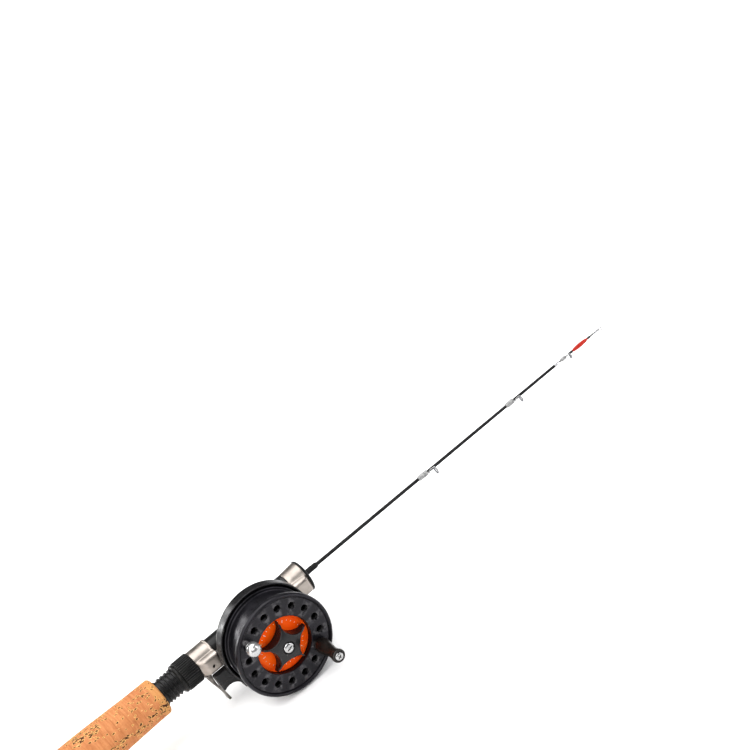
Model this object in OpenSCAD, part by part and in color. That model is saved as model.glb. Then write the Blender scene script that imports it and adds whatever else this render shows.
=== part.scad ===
// Short ice fishing rod with a side-mounted spool reel.
// The rod lies along X with its tip towards +X. The reel faces -Y and +Z is up.
// The origin is on the rod axis, at the rear face of the cork grip.

/* [Handle] */
// Length of the cork grip
grip_len = 115; // [100:1:150]
// Radius of the straight rear part of the grip
grip_r = 12.9; // [12.4:0.1:14]
// Radius of the grip at its front end
grip_front_r = 11.4; // [10.6:0.1:12.2]
// Length of the straight rear part of the grip
grip_straight = 55; // [40:1:70]
// Distance from the grip to the front face of the seat
seat_len = 105.8; // [105:0.1:108]
// Radius of the seat barrel and of its thread crests
barrel_r = 7.8; // [7.7:0.05:7.9]
// Pitch of the thread rings
thread_pitch = 2.5; // [2:0.25:3]
// Outer radius of the locking nut
nut_r = 9.2; // [9.1:0.05:9.6]

/* [Blank] */
// Length of rod from the front cap to the tip
blank_len = 231; // [200:1:260]
// Radius of the blank where it leaves the cap
blank_r = 1.1; // [1:0.05:1.2]
// Radius of the blank where the fine tip begins
blank_end_r = 0.85; // [0.8:0.05:0.95]
// Radius of the fine tip
tip_r = 0.42; // [0.4:0.02:0.5]

/* [Reel] */
// Distance from the front cap back to the reel axis
reel_back = 40.5; // [40:0.1:41]
// Drop of the reel axis below the rod axis
reel_drop = 1.5; // [1.3:0.1:1.7]
// Radius of the spool's front flange
flange_r = 30; // [29.5:0.1:31]
// Radius of the spool barrel that carries the line
arbor_r = 25.4; // [25.3:0.1:25.8]
// Radius of the circle of flange holes
hole_ring_r = 22.6; // [22.4:0.1:22.8]
// Number of places on the circle of flange holes
hole_count = 16; // [16:4:16]
// Radius of the star knob at its points
star_r = 15.8; // [15:0.1:16.2]
// Length of the winding knob
knob_len = 20.3; // [18:0.1:26]

/* [Hidden] */
$fn = 72;

// Gap between pieces that are fixed to each other
fixed_gap = 0.03;
// Radial clearance of pieces that turn on each other
running_gap = 0.05;

// Places along the rod
cap_x = grip_len + seat_len;
tip_x = cap_x + blank_len;
nut_x = cap_x - 93.15;
hood_x = cap_x - 80.7;
hood_len = 12.3;
front_hood_x = cap_x - 12;
cap_len = 1.7;
sleeve_out = 9.2;
blank_end_x = cap_x + 0.84 * blank_len;
float_x0 = cap_x + 0.901 * blank_len;
float_x1 = cap_x + 0.952 * blank_len;
guide_x = [cap_x + 0.42 * blank_len, cap_x + 0.71 * blank_len, cap_x + 0.885 * blank_len];
guide_foot_len = [6.5, 5.5, 3.6];
guide_leg_len = [3.4, 2.9, 1.6];

// Guides, from the largest to the smallest
guide_ring_r = [2.6, 2.2, 1.7];
guide_stand = [4.3, 3.7, 2.8];
guide_seat_r = [blank_radius(guide_x[0] - 10), blank_radius(guide_x[1] - 9), tip_r];
guide_wire_r = 0.28;

// Hood walls and the pocket that holds the reel foot
hood_bore_r = barrel_r + 0.1;
hood_r = hood_bore_r + 0.7;
pocket_half = 5.5;
pocket_out = 11.4;
pocket_wall = 0.75;
pocket_corner_r = 1.6;

// Reel foot
foot_x0 = cap_x - 75.4;
foot_x1 = cap_x - 4.6;
foot_half = 4.4;
foot_mid_half = 6;
foot_mid_len = 44;
foot_in = barrel_r + 0.05;
foot_out = 10.5;

// Depths on the reel axis, measured from the rod axis towards the face
frame_back = foot_out;
plate_front = 13;
frame_rim_front = 20;
flange_back = 35.3;
flange_front = 38.3;
web_back = 31.4;
web_front = 33.7;
disc_front = 34.7;
lip_front = 39.5;
rear_flange_back = 18.2;
rear_flange_front = 20.5;

// Reel radii
frame_r = 29.5;
rim_in_r = 28.3;
rear_flange_r = 27.3;
recess_r = 16.8;
recess_wall = 1.5;
hub_r = 8.5;
hub_bore_r = 4.6;
spindle_r = 2.5;
bearing_r = 6;
bearing_w = 3.5;
rear_bearing_z = 16.6;
front_bearing_z = 28.9;
knob_angle = -40;
ball_angle = knob_angle + 180;
hole_r = 2.1;
arbor_in_r = hole_ring_r + hole_r + 0.05;
post_r = 1.55;
ball_r = 4.25;
ball_z = flange_front + 4.8;

// Click mechanism
gear_teeth = 24;
gear_tip_r = 11.5;
gear_root_r = 10.2;
gear_z = 16.9;
gear_w = 2;
pawl_y = -14.4;
pawl_nose = 4.2;
pawl_angle = 60;
shaft_r = 1.3;

// Star knob
star_points = 5;
star_phase = 7;
star_valley_r = 7.6;
star_bottom = 35.1;
star_top = 43.2;
spindle_end = 40.2;
screw_seat = 40.8;

// ---- helpers ----

// Turns a shape drawn about Z so that it lies along X
module along_x(x) {
    translate([x, 0, 0])
        rotate([0, 90, 0])
            children();
}

// A plain tube along X
module tube_x(x0, x1, r_out, r_in) {
    along_x(x0)
        difference() {
            cylinder(r = r_out, h = x1 - x0);
            translate([0, 0, -1])
                cylinder(r = r_in, h = x1 - x0 + 2);
        }
}

// Reel coordinates: X along the rod, Y upwards, Z out of the reel's face
module on_reel() {
    translate([cap_x - reel_back, 0, -reel_drop])
        rotate([90, 0, 0])
            children();
}

// A disc or ring on the reel axis between two depths
module reel_ring(z0, z1, r_out, r_in = 0) {
    translate([0, 0, z0])
        difference() {
            cylinder(r = r_out, h = z1 - z0);
            if (r_in > 0)
                translate([0, 0, -1])
                    cylinder(r = r_in, h = z1 - z0 + 2);
        }
}

// A place on a circle about the reel axis
module at_ring(radius, angle) {
    rotate([0, 0, angle])
        translate([radius, 0, 0])
            children();
}

// A round wire between two points
module wire(a, b, r) {
    d = b - a;
    len = norm(d);
    translate(a)
        rotate([0, acos(d[2] / len), atan2(d[1], d[0])])
            cylinder(r = r, h = len, $fn = 16);
}

function blank_radius(x) =
    blank_r + (blank_end_r - blank_r) * (x - cap_x) / (blank_end_x - cap_x);

// ---- handle ----

// Cork grip: straight behind, easing to a slimmer front with a broken edge
module rear_grip() {
    steps = 12;
    taper = [for (i = [0 : steps])
        [
            grip_front_r + (grip_r - grip_front_r) * (0.5 + 0.5 * cos(180 * i / steps)),
            grip_straight + (grip_len - 1 - grip_straight) * i / steps
        ]
    ];
    color("burlywood")
        along_x(0)
            rotate_extrude()
                polygon(concat(
                    [[5, 0], [grip_r, 0]],
                    taper,
                    [[grip_front_r - 0.9, grip_len], [5, grip_len]]
                ));
}

// Rubber butt cap with a plug that enters the grip
module butt_cap() {
    butt_r = grip_r - 0.45;
    edge_r = 4;
    color("dimgray")
        along_x(-8)
            rotate_extrude()
                difference() {
                    union() {
                        translate([0, edge_r])
                            square([butt_r, 8 - edge_r]);
                        square([butt_r - edge_r, 5]);
                        translate([butt_r - edge_r, edge_r])
                            circle(r = edge_r);
                        translate([0, 7])
                            square([4.95, 7]);
                    }
                    translate([-20, -20])
                        square([20, 60]);
                }
}

// Tube inside the grip and the seat; its front end takes the blank
module handle_core() {
    color("gray")
        along_x(7)
            difference() {
                cylinder(r = 4.9, h = cap_x - 12);
                translate([0, 0, -1])
                    cylinder(r = 3.2, h = cap_x - 41);
                translate([0, 0, cap_x - 43])
                    cylinder(r = 1.75, h = 40);
            }
}

// Seat barrel: thread rings behind, plain middle, collar before the front hood
module seat_barrel() {
    root_r = barrel_r - 0.75;
    thread_len = 33;
    rings = floor((thread_len - 3) / thread_pitch);
    color([0.09, 0.09, 0.1])
        along_x(grip_len)
            difference() {
                union() {
                    cylinder(r = root_r, h = seat_len - 4);
                    cylinder(r = barrel_r, h = 1.6);
                    for (i = [0 : rings - 1])
                        translate([0, 0, 2.9 + i * thread_pitch])
                            rotate_extrude()
                                polygon([
                                    [root_r - 0.2, 0],
                                    [root_r, 0],
                                    [barrel_r, 0.55],
                                    [barrel_r, 1.15],
                                    [root_r, 1.7],
                                    [root_r - 0.2, 1.7]
                                ]);
                    translate([0, 0, thread_len])
                        cylinder(r = barrel_r, h = seat_len - thread_len - 4);
                    translate([0, 0, seat_len - 16])
                        cylinder(r = 8.75, h = 3.9);
                }
                translate([0, 0, -1])
                    cylinder(r = 4.9 + fixed_gap, h = seat_len);
                // Flat that the reel foot rests on
                translate([-foot_half - 0.4, -barrel_r - 2, seat_len - 76])
                    cube([2 * foot_half + 0.8, 2, 76]);
            }
}

// Locking nut: knurled body with a broad rib and a chamfered rear ring
module locking_nut() {
    body_len = 9.9;
    ribs = 44;
    color([0.12, 0.12, 0.12])
        along_x(nut_x)
            difference() {
                union() {
                    rotate_extrude()
                        polygon([
                            [7, 0],
                            [8.1, 0],
                            [8.9, 0.9],
                            [8.9, 1.8],
                            [8.35, 2.1],
                            [8.35, 2.5],
                            [7, 2.5]
                        ]);
                    translate([0, 0, 2.4])
                        linear_extrude(body_len)
                            difference() {
                                circle(r = nut_r);
                                for (i = [0 : ribs - 1])
                                    if (i % 11 > 0)
                                        rotate(i * 360 / ribs)
                                            translate([nut_r + 0.12, 0])
                                                circle(r = 0.42, $fn = 16);
                            }
                }
                translate([0, 0, -1])
                    cylinder(r = hood_bore_r, h = 20);
            }
}

// Outside of the pocket that a hood forms over the reel foot
module pocket_outside(x0, len) {
    side = pocket_half - pocket_corner_r;
    translate([x0, -pocket_out, -side])
        cube([len, pocket_out, 2 * side]);
    translate([x0, pocket_corner_r - pocket_out, -pocket_half])
        cube([len, pocket_out - pocket_corner_r, 2 * pocket_half]);
    for (s = [-1, 1])
        translate([x0, pocket_corner_r - pocket_out, s * side])
            rotate([0, 90, 0])
                cylinder(r = pocket_corner_r, h = len);
}

// Space inside the pocket
module pocket_inside(x0, len) {
    translate([x0, pocket_wall - pocket_out, pocket_wall - pocket_half])
        cube([len, pocket_out - 6, 2 * (pocket_half - pocket_wall)]);
}

// Sliding hood of bright sheet metal, with its pocket towards the reel
module rear_hood() {
    color("silver")
        difference() {
            union() {
                along_x(hood_x)
                    cylinder(r = hood_r, h = hood_len);
                along_x(hood_x + hood_len - 1)
                    cylinder(r = hood_r + 0.3, h = 1);
                intersection() {
                    pocket_outside(hood_x + 1.2, hood_len - 1.2);
                    // Back of the pocket slopes down to the tube
                    translate([0, 0, -10])
                        linear_extrude(20)
                            polygon([
                                [hood_x, 0],
                                [hood_x, -8],
                                [hood_x + 3.4, -pocket_out],
                                [hood_x + hood_len, -pocket_out],
                                [hood_x + hood_len, 0]
                            ]);
                }
            }
            along_x(hood_x - 1)
                cylinder(r = hood_bore_r, h = hood_len + 2);
            pocket_inside(hood_x + 3.6, hood_len);
            // Small hole in the pocket face
            translate([hood_x + 6.9, 0, -0.8])
                rotate([90, 0, 0])
                    cylinder(r = 0.9, h = 20);
        }
}

// Metal spur that hangs below the sliding hood for the fingertip, broad at its root
module hood_spur() {
    top_z = -pocket_half - 0.05;
    levels = [top_z, -8, -11, -14.2, -17.4, -20.4, -23, -25.6, -27.6];
    rear_edge = [0.35, 0.55, 1.25, 2.15, 3.05, 3.85, 4.35, 4.75, 5.05];
    front_edge = [4.1, 3.9, 3.85, 4.05, 4.75, 5.55, 6.05, 6.45, 6.75];
    width = 5.2;
    last = len(levels) - 1;
    color("silver")
        difference() {
            translate([hood_x, -3.1, 0])
                rotate([90, 0, 0])
                    linear_extrude(width)
                        polygon(concat(
                            [for (i = [0 : last]) [rear_edge[i], levels[i]]],
                            [for (i = [0 : last]) [front_edge[last - i], levels[last - i]]]
                        ));
            along_x(hood_x - 1)
                cylinder(r = hood_r + fixed_gap, h = hood_len + 2);
        }
}

// Fixed hood at the front of the seat, slightly conical
module front_hood() {
    len = cap_x - cap_len - front_hood_x;
    color("silver")
        difference() {
            union() {
                along_x(front_hood_x)
                    cylinder(r1 = 8.85, r2 = 9.6, h = len);
                pocket_outside(front_hood_x, len - 1.2);
            }
            along_x(front_hood_x - 1)
                cylinder(r = barrel_r + fixed_gap, h = len + 2);
            pocket_inside(front_hood_x - 1, len - 1.4);
        }
}

// Black cap that closes the front hood and centres the blank
module front_cap() {
    color([0.1, 0.1, 0.1])
        along_x(cap_x - cap_len)
            difference() {
                union() {
                    rotate_extrude()
                        polygon([
                            [0, 0],
                            [10, 0],
                            [10.05, 0.6],
                            [9.6, 1.3],
                            [8.6, cap_len],
                            [0, cap_len]
                        ]);
                    translate([0, 0, -2.2])
                        cylinder(r = 7.6, h = 3);
                }
                translate([0, 0, -5])
                    cylinder(r = 1.75, h = 20);
            }
}

// ---- blank and tip ----

// Short sleeve round the foot of the blank
module blank_sleeve() {
    color([0.15, 0.15, 0.15])
        along_x(cap_x - 24)
            difference() {
                union() {
                    cylinder(r = 1.7, h = 24 + sleeve_out - 1.2);
                    translate([0, 0, 24 + sleeve_out - 1.2])
                        cylinder(r1 = 1.7, r2 = 1.3, h = 1.2);
                }
                translate([0, 0, -1])
                    cylinder(r = blank_r + 0.1, h = 60);
            }
}

// Tapered carbon blank
module blank() {
    color([0.17, 0.17, 0.17])
        along_x(cap_x - 24)
            difference() {
                cylinder(r1 = blank_r + 0.03, r2 = blank_end_r, h = blank_end_x - cap_x + 24);
                translate([0, 0, blank_end_x - cap_x + 14])
                    cylinder(r = tip_r + fixed_gap, h = 20);
            }
}

// Fine springy tip plugged into the blank
module tip_section() {
    color([0.45, 0.45, 0.45])
        along_x(blank_end_x - 8)
            cylinder(r = tip_r, h = tip_x - blank_end_x + 6);
}

// Bright ferrule that closes the end of the blank round the tip
module tip_ferrule() {
    color("silver")
        along_x(blank_end_x - 0.5)
            difference() {
                union() {
                    cylinder(r = blank_end_r + 0.13, h = 1.6);
                    translate([0, 0, 1.6])
                        cylinder(r1 = blank_end_r + 0.13, r2 = tip_r + 0.18, h = 2.2);
                }
                translate([0, 0, -1])
                    cylinder(r = tip_r + fixed_gap, h = 10);
                translate([0, 0, -1])
                    cylinder(r = blank_end_r + 0.04, h = 1.55);
            }
}

// Red bite marker on the tip
module tip_float() {
    len = float_x1 - float_x0;
    steps = 12;
    swell = 0.68;
    color("red")
        along_x(float_x0)
            rotate_extrude()
                polygon(concat(
                    [[tip_r + fixed_gap, 0]],
                    [for (i = [0 : steps]) [0.62 + swell * sqrt(sin(180 * i / steps)), len * i / steps]],
                    [[tip_r + fixed_gap, len]]
                ));
}

// Black stops at both ends of the marker
module float_stops() {
    color([0.12, 0.12, 0.12]) {
        tube_x(float_x0 - 2.9, float_x0 - 0.2, 0.8, tip_r + fixed_gap);
        tube_x(float_x1 + 0.2, float_x1 + 2.4, 0.7, tip_r + fixed_gap);
    }
}

// Tip ring and the small tube that slides over the tip
module tip_top() {
    ring_r = 1.5;
    color("silver") {
        tube_x(tip_x - 6.2, tip_x - 1.5, tip_r + 0.26, tip_r + fixed_gap);
        translate([tip_x - 0.9, -ring_r - 0.25, 0])
            rotate([0, 90, 0])
                difference() {
                    cylinder(r = ring_r, h = 0.9);
                    translate([0, 0, -1])
                        cylinder(r = 1, h = 3);
                }
        wire([tip_x - 1.8, -0.2, 0], [tip_x - 0.5, -0.4, 0], 0.3);
    }
}

// Where the foot of guide i starts and ends along the rod
function guide_foot(i) =
    [guide_x[i] - guide_leg_len[i] - guide_foot_len[i], guide_x[i] - guide_leg_len[i]];

// Height of the foot wire beside the blank
function guide_foot_y(i) = -guide_seat_r[i] - guide_wire_r - 0.02;

// One wire guide: foot along the blank, two legs and the ring that holds the insert
module guide(i) {
    foot_y = guide_foot_y(i);
    color("silver")
        difference() {
            union() {
                wire([guide_foot(i)[0], foot_y, 0], [guide_foot(i)[1], foot_y, 0], guide_wire_r);
                for (s = [-1, 1])
                    wire(
                        [guide_foot(i)[1] - 0.3, foot_y, 0],
                        [guide_x[i] + 0.1, -guide_stand[i], s * (guide_ring_r[i] - 0.22)],
                        guide_wire_r * 0.85
                    );
                translate([guide_x[i] - 0.35, -guide_stand[i], 0])
                    rotate([0, 90, 0])
                        cylinder(r = guide_ring_r[i], h = 0.7);
            }
            translate([guide_x[i] - 0.8, -guide_stand[i], 0])
                rotate([0, 90, 0])
                    cylinder(r = guide_ring_r[i] - 0.45, h = 1.6);
        }
}

module guide_large() {
    guide(0);
}

module guide_middle() {
    guide(1);
}

module guide_small() {
    guide(2);
}

// Hard ring inserts that the line runs through
module guide_inserts() {
    color("gray")
        for (i = [0 : 2])
            translate([guide_x[i] - 0.5, -guide_stand[i], 0])
                rotate([0, 90, 0])
                    difference() {
                        cylinder(r = guide_ring_r[i] - 0.48, h = 1);
                        translate([0, 0, -1])
                            cylinder(r = guide_ring_r[i] - 0.85, h = 3);
                    }
}

// Lacquered bindings that hold the guide feet on the blank
module guide_wraps() {
    color("lightgray")
        for (i = [0 : 2]) {
            x0 = guide_foot(i)[0] - 0.8;
            x1 = guide_foot(i)[1] - 0.5;
            full = guide_seat_r[i] + 2 * guide_wire_r + 0.12;
            difference() {
                along_x(x0)
                    rotate_extrude()
                        polygon([
                            [0, 0],
                            [guide_seat_r[i] + 0.15, 0],
                            [full, 0.9],
                            [full, x1 - x0 - 0.3],
                            [full - 0.2, x1 - x0],
                            [0, x1 - x0]
                        ]);
                along_x(x0 - 1)
                    cylinder(r = guide_seat_r[i] + 0.02, h = 20);
                translate([x0 + 0.7, guide_foot_y(i), 0])
                    rotate([0, 90, 0])
                        cylinder(r = guide_wire_r + 0.02, h = 20, $fn = 16);
            }
        }
}

// ---- reel, fixed parts ----

// Dish-shaped frame with the notched arm behind it
module reel_frame() {
    back_slope = [4.5, 2.9];
    floor_slope = [2.3, 2.2];
    edge = 0.3;
    color([0.13, 0.13, 0.14])
        difference() {
            union() {
                on_reel()
                    rotate_extrude()
                        polygon([
                            [0, frame_back],
                            [frame_r - back_slope[0], frame_back],
                            [frame_r, frame_back + back_slope[1]],
                            [frame_r, frame_rim_front - edge],
                            [frame_r - edge, frame_rim_front],
                            [rim_in_r + edge, frame_rim_front],
                            [rim_in_r, frame_rim_front - edge],
                            [rim_in_r, plate_front + floor_slope[1]],
                            [rim_in_r - floor_slope[0], plate_front],
                            [0, plate_front]
                        ]);
                frame_arm();
            }
            on_reel() {
                reel_ring(0, 30, spindle_r + fixed_gap);
                translate([0, pawl_y, 0])
                    cylinder(r = shaft_r + running_gap, h = 20);
            }
            foot_screw_places()
                cylinder(r = 1.3, h = 11.8);
        }
}

// Arm that runs back under the hood, with a round notch for the finger
module frame_arm() {
    arm_back = 8.7;
    notch_x = cap_x - 72.3;
    notch_z = -23.1;
    translate([0, -arm_back, 0])
        rotate([90, 0, 0])
            linear_extrude(plate_front - arm_back)
                difference() {
                    polygon([
                        [cap_x - 77.4, -6.1],
                        [cap_x - 66, -6.1],
                        [cap_x - 60, -9],
                        [cap_x - 58, -21],
                        [cap_x - 64.6, -24.6],
                        [cap_x - 74, -24.6],
                        [cap_x - 76.7, -16.5]
                    ]);
                    translate([notch_x, notch_z])
                        circle(r = 7.1);
                }
}

// Places of the three foot screws; the middle one enters the spindle
module foot_screw_places() {
    for (dx = [-17, 0, 17])
        translate([cap_x - reel_back + dx, 0, dx == 0 ? -reel_drop : 0])
            rotate([90, 0, 0])
                children();
}

// Reel foot: a flat plate with tapered ends that enter the hood pockets
module reel_foot() {
    mid_x = (foot_x0 + foot_x1) / 2;
    half = (foot_x1 - foot_x0) / 2;
    color([0.1, 0.1, 0.1])
        difference() {
            intersection() {
                translate([0, 0, -10])
                    linear_extrude(20)
                        polygon([
                            [foot_x0, -foot_in],
                            [foot_x1, -foot_in],
                            [foot_x1, -foot_in - 1.3],
                            [mid_x + 26, -foot_out + fixed_gap],
                            [mid_x - 26, -foot_out + fixed_gap],
                            [foot_x0, -foot_in - 1.3]
                        ]);
                translate([mid_x, 0, 0])
                    rotate([90, 0, 0])
                        linear_extrude(20)
                            union() {
                                square([2 * (half - foot_half), 2 * foot_half], center = true);
                                square([foot_mid_len, 2 * foot_mid_half], center = true);
                                square([foot_mid_len + 3, 2 * foot_mid_half - 3], center = true);
                                for (s = [-1, 1])
                                    translate([s * (half - foot_half), 0])
                                        circle(r = foot_half);
                            }
            }
            foot_screw_places() {
                cylinder(r = 1.55, h = 20);
                translate([0, 0, foot_in - 0.01])
                    cylinder(r1 = 2.75, r2 = 1.55, h = 1.2);
            }
        }
}

// Countersunk screws that hold the frame and the spindle on the foot
module foot_screws() {
    color("silver")
        foot_screw_places()
            difference() {
                union() {
                    translate([0, 0, foot_in + 0.05])
                        cylinder(r1 = 2.65, r2 = 1.25, h = 1.3);
                    translate([0, 0, foot_in + 0.3])
                        cylinder(r = 1.25, h = 3.2);
                }
                for (a = [0, 90])
                    rotate([0, 0, a])
                        translate([-1.3, -0.25, foot_in - 0.5])
                            cube([2.6, 0.5, 1.1]);
            }
}

// Fixed steel spindle with its thrust flange
module spindle() {
    color("silver")
        on_reel()
            difference() {
                union() {
                    reel_ring(frame_back + 0.1, spindle_end, spindle_r);
                    reel_ring(plate_front + fixed_gap, 14.4, 5.5);
                    reel_ring(14.3, rear_bearing_z - 0.1, 3.4);
                }
                translate([0, 0, spindle_end - 6])
                    cylinder(r = 1.43, h = 20);
                cylinder(r = 1.28, h = 13);
            }
}

// ---- reel, turning parts ----

// Ball bearing: two races and a ring of balls
module bearing(z0) {
    balls = 7;
    on_reel() {
        reel_ring(z0, z0 + bearing_w, 3.6, spindle_r + 0.02);
        reel_ring(z0, z0 + bearing_w, bearing_r - 0.02, 5);
        for (i = [0 : balls - 1])
            at_ring(4.3, i * 360 / balls)
                translate([0, 0, z0 + bearing_w / 2])
                    sphere(r = 0.65, $fn = 24);
    }
}

module rear_bearing() {
    color("lightsteelblue")
        bearing(rear_bearing_z);
}

module front_bearing() {
    color("lightsteelblue")
        bearing(front_bearing_z);
}

// Line spool: pierced front flange with a rounded lip, open barrel, rear flange, web and hub
module spool() {
    lip_w = 2.6;
    hub_back = rear_bearing_z - 0.4;
    color([0.16, 0.16, 0.17])
        on_reel()
            difference() {
                rotate_extrude()
                    union() {
                        polygon([
                            [recess_r, flange_back],
                            [flange_r - 0.4, flange_back],
                            [flange_r, flange_back + 0.7],
                            [flange_r, flange_front + 0.1],
                            [flange_r - 0.3, lip_front - 0.4],
                            [flange_r - 0.9, lip_front],
                            [flange_r - 1.6, lip_front],
                            [flange_r - 2.2, lip_front - 0.5],
                            [flange_r - lip_w, flange_front],
                            [recess_r, flange_front]
                        ]);
                        translate([recess_r, web_back])
                            square([recess_wall, flange_back - web_back + 0.5]);
                        translate([hub_bore_r, web_back])
                            square([recess_r + 0.5 - hub_bore_r, web_front - web_back]);
                        translate([hub_bore_r, hub_back])
                            square([hub_r - hub_bore_r, web_front - hub_back]);
                        translate([arbor_in_r, rear_flange_back])
                            square([arbor_r - arbor_in_r, flange_back - rear_flange_back + 0.5]);
                        translate([arbor_in_r, rear_flange_back])
                            square([rear_flange_r - arbor_in_r, rear_flange_front - rear_flange_back]);
                    }
                reel_ring(0, rear_bearing_z + bearing_w, bearing_r);
                reel_ring(front_bearing_z, 60, bearing_r);
                for (i = [0 : hole_count - 1])
                    if (i % (hole_count / 2) > 0)
                        at_ring(hole_ring_r, knob_angle + i * 360 / hole_count) {
                            translate([0, 0, flange_back - 1])
                                cylinder(r = hole_r, h = 10, $fn = 32);
                            translate([0, 0, flange_front - 0.35])
                                cylinder(r1 = hole_r, r2 = hole_r + 0.4, h = 0.4, $fn = 32);
                        }
                for (a = [knob_angle, ball_angle])
                    at_ring(hole_ring_r, a)
                        translate([0, 0, flange_back - 1])
                            cylinder(r = post_r + fixed_gap, h = 10);
            }
}

// Orange plate on the floor of the recess
module spool_disc() {
    color("orangered")
        on_reel()
            reel_ring(web_front + fixed_gap, disc_front, recess_r - 0.1, bearing_r + 0.4);
}

// Toothed click ring on the spool hub; a gap faces the pawl
module click_gear() {
    pitch_angle = 360 / gear_teeth;
    gap_angle = atan2(pawl_y + pawl_nose * sin(pawl_angle), pawl_nose * cos(pawl_angle));
    outline = [for (i = [0 : gear_teeth - 1], k = [0 : 3])
        let (
            r = k == 1 || k == 2 ? gear_tip_r : gear_root_r,
            a = gap_angle + pitch_angle * (i + [0.24, 0.42, 0.58, 0.76][k])
        )
        [r * cos(a), r * sin(a)]
    ];
    color("goldenrod")
        on_reel()
            translate([0, 0, gear_z])
                linear_extrude(gear_w)
                    difference() {
                        polygon(outline);
                        circle(r = hub_r + fixed_gap);
                    }
}

// Pawl on its shaft, shown swung clear of the click ring
module click_pawl() {
    color("silver")
        on_reel()
            translate([0, pawl_y, gear_z + 0.1])
                linear_extrude(gear_w - 0.2)
                    difference() {
                        union() {
                            circle(r = 2.1);
                            polygon([
                                [0, -1.3],
                                [pawl_nose, -0.35],
                                [pawl_nose, 0.25],
                                [0, 1.6]
                            ]);
                        }
                        circle(r = shaft_r + fixed_gap);
                    }
}

// Shaft that carries the pawl through the back plate
module click_shaft() {
    color("silver")
        on_reel()
            translate([0, pawl_y, 0]) {
                translate([0, 0, 6.2])
                    cylinder(r = shaft_r, h = gear_z + gear_w + 0.6 - 6.2);
                translate([0, 0, plate_front + 0.3])
                    cylinder(r = 2.1, h = gear_z - plate_front - 0.35);
            }
}

// Small ribbed knob on the back that turns the click on and off
module click_knob() {
    ribs = 18;
    color([0.14, 0.14, 0.14])
        on_reel()
            translate([0, pawl_y, 5])
                difference() {
                    linear_extrude(frame_back - 5.3)
                        difference() {
                            circle(r = 4.4);
                            for (i = [0 : ribs - 1])
                                rotate(i * 360 / ribs)
                                    translate([4.55, 0])
                                        circle(r = 0.45, $fn = 16);
                        }
                    translate([0, 0, 1.1])
                        cylinder(r = shaft_r + fixed_gap, h = 10);
                    translate([-3, -0.4, -1])
                        cube([6, 0.8, 1.6]);
                }
}

// Leaf spring and its post, which hold the pawl where it is set
module click_spring() {
    post = [-7.6, -12.2];
    end = [-2.6, pawl_y];
    color("silver")
        on_reel() {
            translate([post[0], post[1], plate_front + fixed_gap])
                cylinder(r = 0.9, h = 5.6);
            translate([post[0], post[1], gear_z + 0.2])
                rotate([0, 0, atan2(end[1] - post[1], end[0] - post[0])])
                    translate([0, -0.15, 0])
                        cube([norm(end - post), 0.3, gear_w - 0.4]);
        }
}

// ---- star knob and its washers ----

// Fibre washer in front of the front bearing
module friction_washer() {
    color("tan")
        on_reel()
            reel_ring(32.5, 34.2, 5.9, spindle_r + 0.1);
}

// Dished steel washer that presses on the fibre one
module spring_washer() {
    color("silver")
        on_reel()
            reel_ring(34.25, 35, 5.7, spindle_r + 0.1);
}

// Five-pointed star knob with hollow sides and a domed top
module star_knob() {
    half_angle = 180 / star_points;
    chord = star_r * sin(half_angle);
    sag = star_r * cos(half_angle) - star_valley_r;
    side_r = (chord * chord + sag * sag) / (2 * sag);
    steps = 10;
    dome = [for (i = [0 : steps])
        [17 * i / steps, flange_front - 0.4 + (star_top - flange_front + 0.4) * cos(90 * pow(i / steps, 1.15))]
    ];
    color([0.08, 0.08, 0.08])
        on_reel()
            difference() {
                intersection() {
                    rotate([0, 0, star_phase])
                        translate([0, 0, star_bottom])
                            linear_extrude(20)
                                difference() {
                                    circle(r = star_r - 0.3);
                                    for (i = [0 : star_points - 1])
                                        rotate((i + 0.5) * 360 / star_points)
                                            translate([star_valley_r + side_r, 0])
                                                circle(r = side_r);
                                }
                    rotate_extrude()
                        polygon(concat([[0, 30], [0, star_top]], dome, [[17, 30]]));
                }
                reel_ring(0, 60, spindle_r + running_gap);
                reel_ring(screw_seat - 0.3, 60, 3.45);
            }
}

// Cross-head screw that keeps the star on the spindle
module star_screw() {
    color("gainsboro")
        on_reel()
            difference() {
                union() {
                    reel_ring(spindle_end - 5, screw_seat + 0.1, 1.4);
                    reel_ring(screw_seat, screw_seat + 2, 3.2);
                    translate([0, 0, screw_seat + 1.95])
                        cylinder(r1 = 3.2, r2 = 2.2, h = 0.9);
                }
                for (a = [20, 110])
                    rotate([0, 0, a])
                        translate([-1.9, -0.35, screw_seat + 1.6])
                            cube([3.8, 0.7, 3]);
            }
}

// ---- winding knob and balance weight ----

// Thin brass washer under the winding knob
module knob_washer() {
    color("goldenrod")
        on_reel()
            at_ring(hole_ring_r, knob_angle)
                reel_ring(flange_front + fixed_gap, flange_front + 0.5, 3.4, post_r + 0.07);
}

// Shoulder screw that the winding knob turns on
module handle_post() {
    head_z = flange_front + knob_len - 0.9;
    color("gainsboro")
        on_reel()
            at_ring(hole_ring_r, knob_angle)
                difference() {
                    union() {
                        reel_ring(flange_back + 0.3, head_z, post_r);
                        reel_ring(head_z - 0.1, head_z + 1, 2.5);
                        translate([0, 0, head_z + 0.99])
                            cylinder(r1 = 2.5, r2 = 1.7, h = 0.6);
                    }
                    for (a = [30, 120])
                        rotate([0, 0, a])
                            translate([-1.5, -0.3, head_z + 0.7])
                                cube([3, 0.6, 2]);
                }
}

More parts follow.
